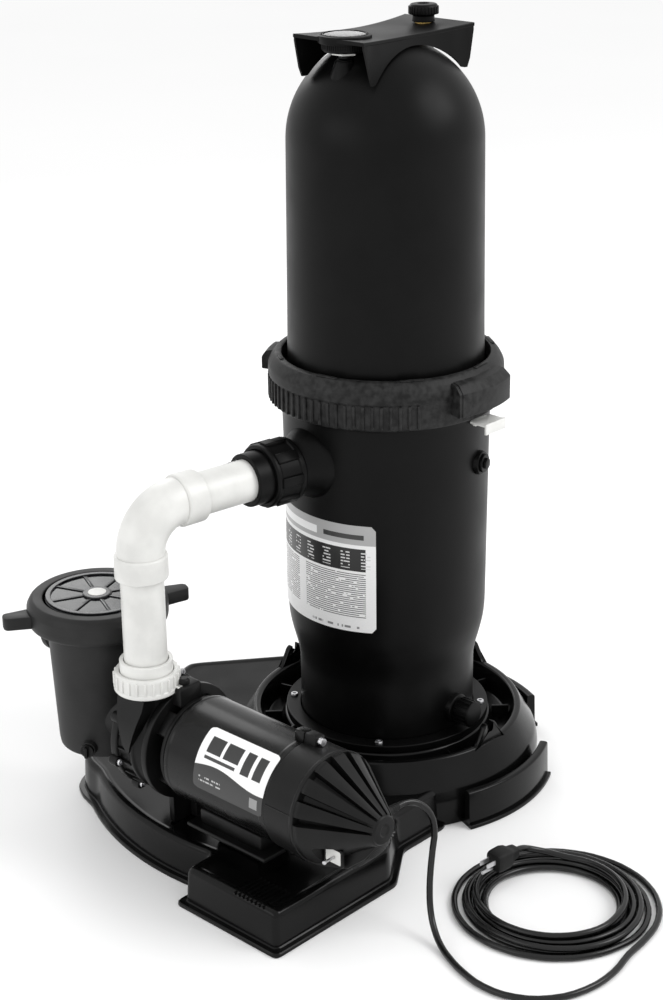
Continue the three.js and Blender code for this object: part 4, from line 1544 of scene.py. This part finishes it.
def lower_fin():
    """A thin fin under the cone, as an outline of (radius, height) raised to its thickness."""
    outline = [
        (20, HUB - 3), (44, HUB - 15), (66, HUB - 38), (77, CONE + 14), (79, CONE - 2), (60, CONE + 2),
    ]
    fin = raised(rounded(outline, 1.5, True, 3), -1.1, 1.1, 0.5)
    stand = Matrix(((1, 0, 0, 0), (0, 0, -1, 0), (0, 1, 0, 0), (0, 0, 0, 1)))
    return moved(fin, stand)


repeated(
    "motor_lower_fins", lower_fin(), ON_SHAFT, "root", pump_black, count=14, first=-29,
    angle_step=6.6,
)
repeated(
    "motor_bolt_heads", screw_head(5.6, 5), ON_SHAFT @ place(z=SEAM + 21), "root", plated_steel,
    count=2, radius=82, first=LUG_ANGLES[0], angle_step=180,
)

# %% [markdown]
# ## Switch
# The switch sits in a pocket of the cover's smooth quarter: a white plate inside a low dark bezel,
# and a metal toggle with a round tip.

# %% Switch
def switch_bezel():
    """A low rounded frame round the plate, on the floor of the pocket."""
    outer = rectangle(PLATE_WIDTH + BEZEL_MARGIN, PLATE_HEIGHT + BEZEL_MARGIN)
    rings = []
    for depth, level in ((0, -0.3), (0, 3), (0.6, 3.8), (2.4, 3.8), (3, 3), (3, -0.3)):
        rings.append([(x, y, level) for x, y in rounded(inset(outer, depth), 4, True)])
    return loft(rings)


piece("switch_bezel", moved(switch_bezel(), switch_place), "root", pump_black)


def toggle():
    """A tapered lever with a ball end, lying along its CAD box."""
    low, high = corners_of("switch_lever")
    length = high.y - low.y
    profile = [
        (0, 0), (2.2, 0), (1.9, length - 6), (2.9, length - 4), (3, length - 1.5), (2, length),
        (0, length)
    ]
    lever = turned(rounded(profile, 0.8), 24)
    root = Matrix.Translation(((low.x + high.x) / 2, high.y, (low.z + high.z) / 2))
    return moved(lever, root @ FACING_PUMP_FRONT)


piece("toggle_lever", toggle(), "toggle", plated_steel, ["switch_lever"])

# %% Motor foot
def motor_cradle():
    """A cradle under the motor on a long rail, with a stem to the deck."""
    reach = SHAFT.z - DECK_TOP - GAP
    cradle = moved(block(22, 84, 118, 2, 4), place(MOTOR_R + 2, 0, 41))
    rail = moved(block(7, 112, 150, 1.5, 5), place(MOTOR_R + 14.5, 0, 28))
    stem = moved(block(reach - MOTOR_R - 14, 60, 80, 2, 4), place((reach + MOTOR_R + 14) / 2, 0, 60))
    return merged(cradle, rail, stem)


piece(
    "motor_cradle", moved(motor_cradle(), ON_SHAFT), "root", pump_black, ["motor_foot"]
)

# %% [markdown]
# ## Mains cord
# The cord is a round three-core cable, about 9 mm thick. It leaves the rear of the motor through a
# tapered strain relief, drops to the floor, swings out in a loose curve and runs into a coil of
# loose turns, with the plug resting on top. A simulation would be hard to repeat, so the route to
# the coil is a short list of given points, and a loop works out the turns, which lie beside and
# on each other. The CAD tube follows nearly the same points: the bend below the exit is opened here
# by up to 3 mm. A curve with a round bevel then has one centreline of the cord's real length.

# %% Cord route
CORD_R = 4.5
# Height of the centreline where the cord lies on the floor
LINE = CORD_R + GAP
LEAD = [
    (318, -335.4, 176), (318.5, -324.5, 176), (322.6, -312.6, 174.4), (329.3, -301.8, 168.1),
    (339.3, -294.7, 155.1), (349.0, -297.5, 136.8), (352.5, -305, 112), (355.5, -312.5, 85),
    (360, -319.5, 58), (369, -328, 35), (384, -338, 18), (405, -349.5, 7.6), (430, -361, LINE),
    (462, -373, LINE), (502, -380, LINE), (545, -371, LINE), (581, -342, LINE), (602, -298, LINE),
    (606, -245, LINE), (597, -198, LINE),
]
COIL = Vector((452, -170, 0))
PER_TURN = 20
LAYER = 8.4
# Radius of the coil and layer at the start of each turn
TURNS = ((141, 0), (127, 0), (113, 0), (100, 0), (89, 0), (95, 1), (107, 1), (119, 1), (98, 2), (84, 2))


def coil_turns():
    """The turns, inwards over the floor and then back and forth on top of each other."""
    points = []
    start = math.degrees(math.atan2(LEAD[-1][1] - COIL.y, LEAD[-1][0] - COIL.x)) + 360 / PER_TURN
    for k in range(PER_TURN * (len(TURNS) - 1) + 1):
        turn, share = divmod(k, PER_TURN)
        share /= PER_TURN
        radius, layer = TURNS[turn]
        next_radius, next_layer = TURNS[min(turn + 1, len(TURNS) - 1)]
        mix = share * share * (3 - 2 * share)
        angle = math.radians(start + 360 * k / PER_TURN)
        reach = radius + (next_radius - radius) * mix + 1.6 * math.sin(2 * angle + 1.3 * turn)
        height = LINE + LAYER * (layer + (next_layer - layer) * mix)
        points.append((COIL.x + reach * math.cos(angle), COIL.y + reach * math.sin(angle), height))
    return points


plug_low, plug_high = corners_of("plug_body")
PLUG_TURN = 266
# From the middle of the plug to where the cord ends in its back
PLUG_BACK = 23
PLUG_PLACE = (plug_low + plug_high) / 2 - TANK
PLUG_AXIS = Matrix.Rotation(math.radians(PLUG_TURN), 3, "Z") @ Vector((1, 0, 0))


def plug_tail():
    """From the top of the coil, along the turn under it, up into the back of the plug."""
    socket = PLUG_PLACE - PLUG_AXIS * PLUG_BACK
    return [
        tuple(socket - PLUG_AXIS * 30 + Vector((1.5, 0, -9))),
        tuple(socket - PLUG_AXIS * 13 + Vector((0, 0, -2))),
        tuple(socket),
    ]


# The last turn stops where the cord leaves it for the plug.
LAST_TURN_CUT = 14
turns = coil_turns()
route = [*LEAD, *turns[:-LAST_TURN_CUT], *plug_tail()]
route_m = [(TANK + Vector(point)) * MM for point in route]


# %% Cord, strain relief and plug
def cord_curve():
    curve = bpy.data.curves.new("mains_cord", "CURVE")
    curve.dimensions = "3D"
    curve.resolution_u = 3
    curve.bevel_depth = CORD_R * MM
    curve.bevel_resolution = 3
    curve.use_fill_caps = True
    spline = curve.splines.new("BEZIER")
    spline.bezier_points.add(len(route_m) - 1)
    for point, place_m in zip(spline.bezier_points, route_m):
        point.co = place_m
        point.handle_left_type = point.handle_right_type = "AUTO"
    obj = bpy.data.objects.new("mains_cord", curve)
    bpy.context.scene.collection.objects.link(obj)
    return obj


def strain_relief():
    """A tapered sleeve with a flange and ring grooves that let it bend."""
    profile = [(0, 0), (8, 0), (8, 3), (6.6, 3.6)]
    for i in range(4):
        z = 5 + 4 * i
        wide = 6.6 - 0.35 * i
        profile += [(wide, z), (wide, z + 2.2), (wide - 0.9, z + 2.6), (wide - 0.9, z + 3.6)]
    profile += [(5.3, 21), (5, 22), (0, 22)]
    return turned(rounded(profile, 0.5), 32)


relief_low, relief_high = corners_of("cord_strain_relief")
relief_centre = (relief_low + relief_high) / 2
AWAY = Matrix.Rotation(math.radians(-90), 4, "X")
relief_place = Matrix.Translation((relief_centre.x, relief_low.y, relief_centre.z)) @ AWAY
piece(
    "strain_relief", moved(strain_relief(), relief_place), "root", rubber, ["cord_strain_relief"],
)


def plug_moulding():
    """The plug's body: a waisted grip that swells to a flat face, and a neck for the cord."""
    rings = []
    for x, half_width, half_height in (
        (-25, 5.6, 5.6), (-23, 8, 7.5), (-17, 9, 8.5), (-12, 9.5, 9), (-7, 12.5, 12), (0, 14, 13.8),
        (14, 14, 13.8), (18, 13.6, 13.4), (21.2, 12.4, 12.2), (21.8, 11.4, 11.2),
    ):
        corners = rectangle(2 * half_width, 2 * half_height)
        soft = rounded(corners, min(half_width, half_height) * 0.5, True, 5)
        rings.append([(x, y, z) for y, z in soft])
    return loft(rings)


plug_place = Matrix.Translation(TANK + PLUG_PLACE) @ turn_z(PLUG_TURN)
plug_piece = piece(
    "plug_moulding", moved(plug_moulding(), plug_place), "root", rubber, ["plug_body"]
)
cord = cord_curve()
cord.data.materials.append(cord_jacket)
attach(cord, "root")
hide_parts("cord_lead", "cord_coil")

# %% [markdown]
# ## Labels
# Paper and vinyl labels are part of how the object looks, but their words aren't reproduced. Each
# is a thin curved sheet with rounded corners and its own UV map, where U runs round and V runs up.
# The print is procedural: a header band, a table panel with small marks, and rows of grey dashes
# where there would be text.

# %% Curved sheets
# How far the two faces of a sheet stand off what it sticks to
SHEET_LAYERS = (0.05, 0.45)


def curved_sheet(radius, start, end, low, high, corner):
    """A thin closed sheet on a cylinder, and the (u, v) of each of its points."""
    span = math.radians(end - start) * radius
    steps, rows = 40, 10
    points, faces, uvs = [], [], []
    for layer in SHEET_LAYERS:
        for i in range(steps + 1):
            along = i / steps
            edge = min(along, 1 - along) * span
            trim = corner - math.sqrt(corner ** 2 - (corner - edge) ** 2) if edge < corner else 0
            angle = math.radians(start + (end - start) * along)
            reach = radius + layer
            for k in range(rows + 1):
                z = low + trim + (high - low - 2 * trim) * k / rows
                points.append(Vector((reach * math.cos(angle), reach * math.sin(angle), z)))
                uvs.append((along, (z - low) / (high - low)))
    width = rows + 1
    sheet = (steps + 1) * width
    for i in range(steps):
        for k in range(rows):
            a = i * width + k
            faces.append((a, a + 1, a + width + 1, a + width))
            faces.append(tuple(v + sheet for v in (a, a + width, a + width + 1, a + 1)))
    border = [i * width for i in range(steps + 1)] + [steps * width + k for k in range(1, width)]
    border += [i * width + rows for i in range(steps - 1, -1, -1)] + list(range(rows - 1, 0, -1))
    for a, b in zip(border, [*border[1:], border[0]]):
        faces.append((a, b, b + sheet, a + sheet))
    return points, faces, uvs


def label_piece(name, sheet, matrix, body, material):
    points, faces, uvs = sheet
    obj = mesh_object(name, ([matrix @ p for p in points], faces))
    layer = obj.data.uv_layers.new(name="Label")
    for loop in obj.data.loops:
        layer.data[loop.index].uv = uvs[loop.vertex_index]
    welded(obj.data)
    dress(obj, body, material, ())


# %% [markdown]
# A label's paper is semi-gloss with a clear varnish, so its highlights are a little softer than
# those of the plastic under it. Printed areas are made from bands of U and V: a Compare node gives
# one inside a band and nothing outside it, and bands multiply to make blocks.

# %% Label print
def band(tree, value, low, high):
    """One where a value lies between two limits."""
    return math_node(tree, "COMPARE", value, (low + high) / 2, (high - low) / 2)


def dashes(tree, u, v, rows, fill, seed):
    """Rows of short dashes of uneven length."""
    scaled = math_node(tree, "MULTIPLY", v, float(rows))
    row = math_node(tree, "FLOOR", scaled)
    spot = node_out(tree, "ShaderNodeCombineXYZ", {"X": u, "Y": row, "Z": seed})
    stretched = node_out(tree, "ShaderNodeMapping", {"Vector": spot, "Scale": (26, 7.3, 1)})
    words = node_out(tree, "ShaderNodeTexNoise", {"Vector": stretched, "Scale": 1.0, "Detail": 3.0})
    there = math_node(tree, "GREATER_THAN", words, 1 - fill)
    return math_node(tree, "MULTIPLY", band(tree, math_node(tree, "FRACT", scaled), 0.22, 0.62), there)


def table_columns(tree, u, v):
    """Eight columns side by side."""
    return band(tree, math_node(tree, "FRACT", math_node(tree, "MULTIPLY", u, 8.0)), 0.3, 0.75)


def below_wave(tree, u, v):
    """Everything under a slow wave that crosses the label."""
    swell = math_node(tree, "SINE", math_node(tree, "MULTIPLY", u, 5.2))
    return math_node(tree, "LESS_THAN", v, math_node(tree, "MULTIPLY_ADD", swell, 0.06, 0.37))


def printed(name, *rows):
    """A label's material. Each row is an ink and what limits it: V, U, dashes or another mask."""
    material, tree, surface = new_material(name)
    uv = node_out(tree, "ShaderNodeUVMap", uv_map="Label")
    u, v = add_node(tree, "ShaderNodeSeparateXYZ", {"Vector": uv}).outputs[:2]
    paper = node_out(tree, "ShaderNodeTexNoise", {"Vector": uv, "Scale": 90.0})
    ramp = add_node(tree, "ShaderNodeValToRGB", {"Fac": paper})
    ramp.color_ramp.elements[0].color = linear("#e9e9e9")
    ramp.color_ramp.elements[1].color = linear("#f6f6f6")
    colour = ramp.outputs[0]
    for row in rows:
        masks = []
        if "v" in row:
            masks.append(band(tree, v, *row["v"]))
        if "u" in row:
            masks.append(band(tree, u, *row["u"]))
        if "dashes" in row:
            masks.append(dashes(tree, u, v, *row["dashes"]))
        if "mask" in row:
            masks.append(row["mask"](tree, u, v))
        whole = masks[0]
        for mask in masks[1:]:
            whole = math_node(tree, "MULTIPLY", whole, mask)
        mix = add_node(
            tree, "ShaderNodeMix", {0: whole, 6: colour, 7: linear(row["ink"])}, data_type="RGBA"
        )
        colour = mix.outputs[2]
    tree.links.new(colour, surface.inputs["Base Color"])
    surface.inputs["Roughness"].default_value = 0.38
    surface.inputs["Coat Weight"].default_value = 0.2
    return material


tank_print = printed(
    "Varnished vinyl label, tank",
    dict(ink="#a9a9a9", v=(0.82, 1.1)),
    dict(ink="#e4e4e4", v=(0.855, 0.925), dashes=(1, 0.62, 4.0)),
    dict(ink="#f0f0f0", v=(0.86, 0.93), u=(0.12, 0.62)),
    dict(ink="#303030", v=(0.87, 0.915), u=(0.67, 0.93)),
    dict(ink="#161616", v=(0.575, 0.785), u=(0.04, 0.94)),
    dict(ink="#d8d8d8", v=(0.6, 0.77), dashes=(34, 0.55, 1.0), mask=table_columns),
    dict(ink="#4a4a4a", v=(0.13, 0.55), u=(0.05, 0.45), dashes=(52, 0.62, 0.05)),
    dict(ink="#4a4a4a", v=(0.13, 0.55), u=(0.52, 0.94), dashes=(52, 0.62, 0.52)),
    dict(ink="#8a8a8a", v=(0.03, 0.1), u=(0.55, 0.9), dashes=(12, 0.5, 7.0)),
)
# A white panel with heavy bars over a grey foot
motor_print = printed(
    "Varnished vinyl label, motor",
    dict(ink="#222222", v=(0.6, 0.86), u=(0.1, 0.3)),
    dict(ink="#222222", v=(0.6, 0.86), u=(0.34, 0.56)),
    dict(ink="#222222", v=(0.5, 0.86), u=(0.62, 0.74)),
    dict(ink="#222222", v=(0.5, 0.86), u=(0.79, 0.91)),
    dict(ink="#333333", v=(0.5, 0.55), u=(0.1, 0.54)),
    dict(ink="#2b2b2b", mask=below_wave),
    dict(ink="#b5b5b5", v=(0.12, 0.26), u=(0.08, 0.4), dashes=(16, 0.5, 2.0)),
    dict(ink="#8c8c8c", v=(0.08, 0.24), u=(0.82, 0.93)),
)
band_print = printed(
    "Printed band on the pipe",
    dict(ink="#202020", v=(0.12, 0.88)),
    dict(ink="#e8e8e8", v=(0.3, 0.7), dashes=(6, 0.55, 3.0)),
)

# %% Labels in place
TANK_R = 148.6
label_piece(
    "tank_label", curved_sheet(TANK_R, start=-149, end=-54, low=277, high=442, corner=7), ON_TANK,
    "root", tank_print,
)


def drum_sheet():
    """A sheet on the motor whose U runs along the shaft and whose V runs up round it."""
    points, faces, uvs = curved_sheet(MOTOR_R, start=207, end=275, low=66, high=196, corner=7)
    return points, faces, [(v, 1 - u) for u, v in uvs]


label_piece("motor_label", drum_sheet(), ON_SHAFT, "root", motor_print)
label_piece(
    "pipe_band", curved_sheet(PIPE_R, start=196, end=290, low=262, high=282, corner=1.5), ON_FEED,
    "root", band_print,
)
# The badge on the strainer's lid has a lower step round it.
badge_step = [(0, LID_TOP - 2), (15.5, LID_TOP - 2), (15.5, LID_TOP - 0.4), (0, LID_TOP - 0.4)]
piece(
    "lid_badge", moved(turned(rounded(badge_step, 0.3), 48), ON_POT @ place(z=0.3)), "strainer_cover",
    white_pvc,
)
piece(
    "clamp_tag", moved(block(20, 9, 1, 0.2, 1), Matrix.Translation(SHAFT) @ place(-20, -22, 94)),
    "root", white_pvc,
)

# %% [markdown]
# ## Floor and finish
# The floor is staged, so that it isn't part of the object.

# %% Floor and finish
# Millimetres. The floor lies just under the base, so that the two never share a face.
FLOOR_SIZE = 60000
FLOOR_Z = -0.2


def pale_floor():
    material, tree, surface = new_material("Matt white floor")
    where = add_node(tree, "ShaderNodeTexCoord").outputs["Object"]
    cloud = node_out(tree, "ShaderNodeTexNoise", {"Vector": where, "Scale": 0.6})
    shade = add_node(tree, "ShaderNodeValToRGB", {"Fac": cloud})
    shade.color_ramp.elements[0].color = linear("#f6f6f6")
    shade.color_ramp.elements[1].color = linear("#fbfbfb")
    tree.links.new(shade.outputs["Color"], surface.inputs["Base Color"])
    surface.inputs["Roughness"].default_value = 1.0
    surface.inputs["Specular IOR Level"].default_value = 0.0
    corners = [Vector((x, y, FLOOR_Z)) for x, y in rectangle(FLOOR_SIZE, FLOOR_SIZE)]
    floor = mesh_object("Floor", (corners, [(0, 1, 2, 3)]))
    floor.data.materials.append(material)


pale_floor()
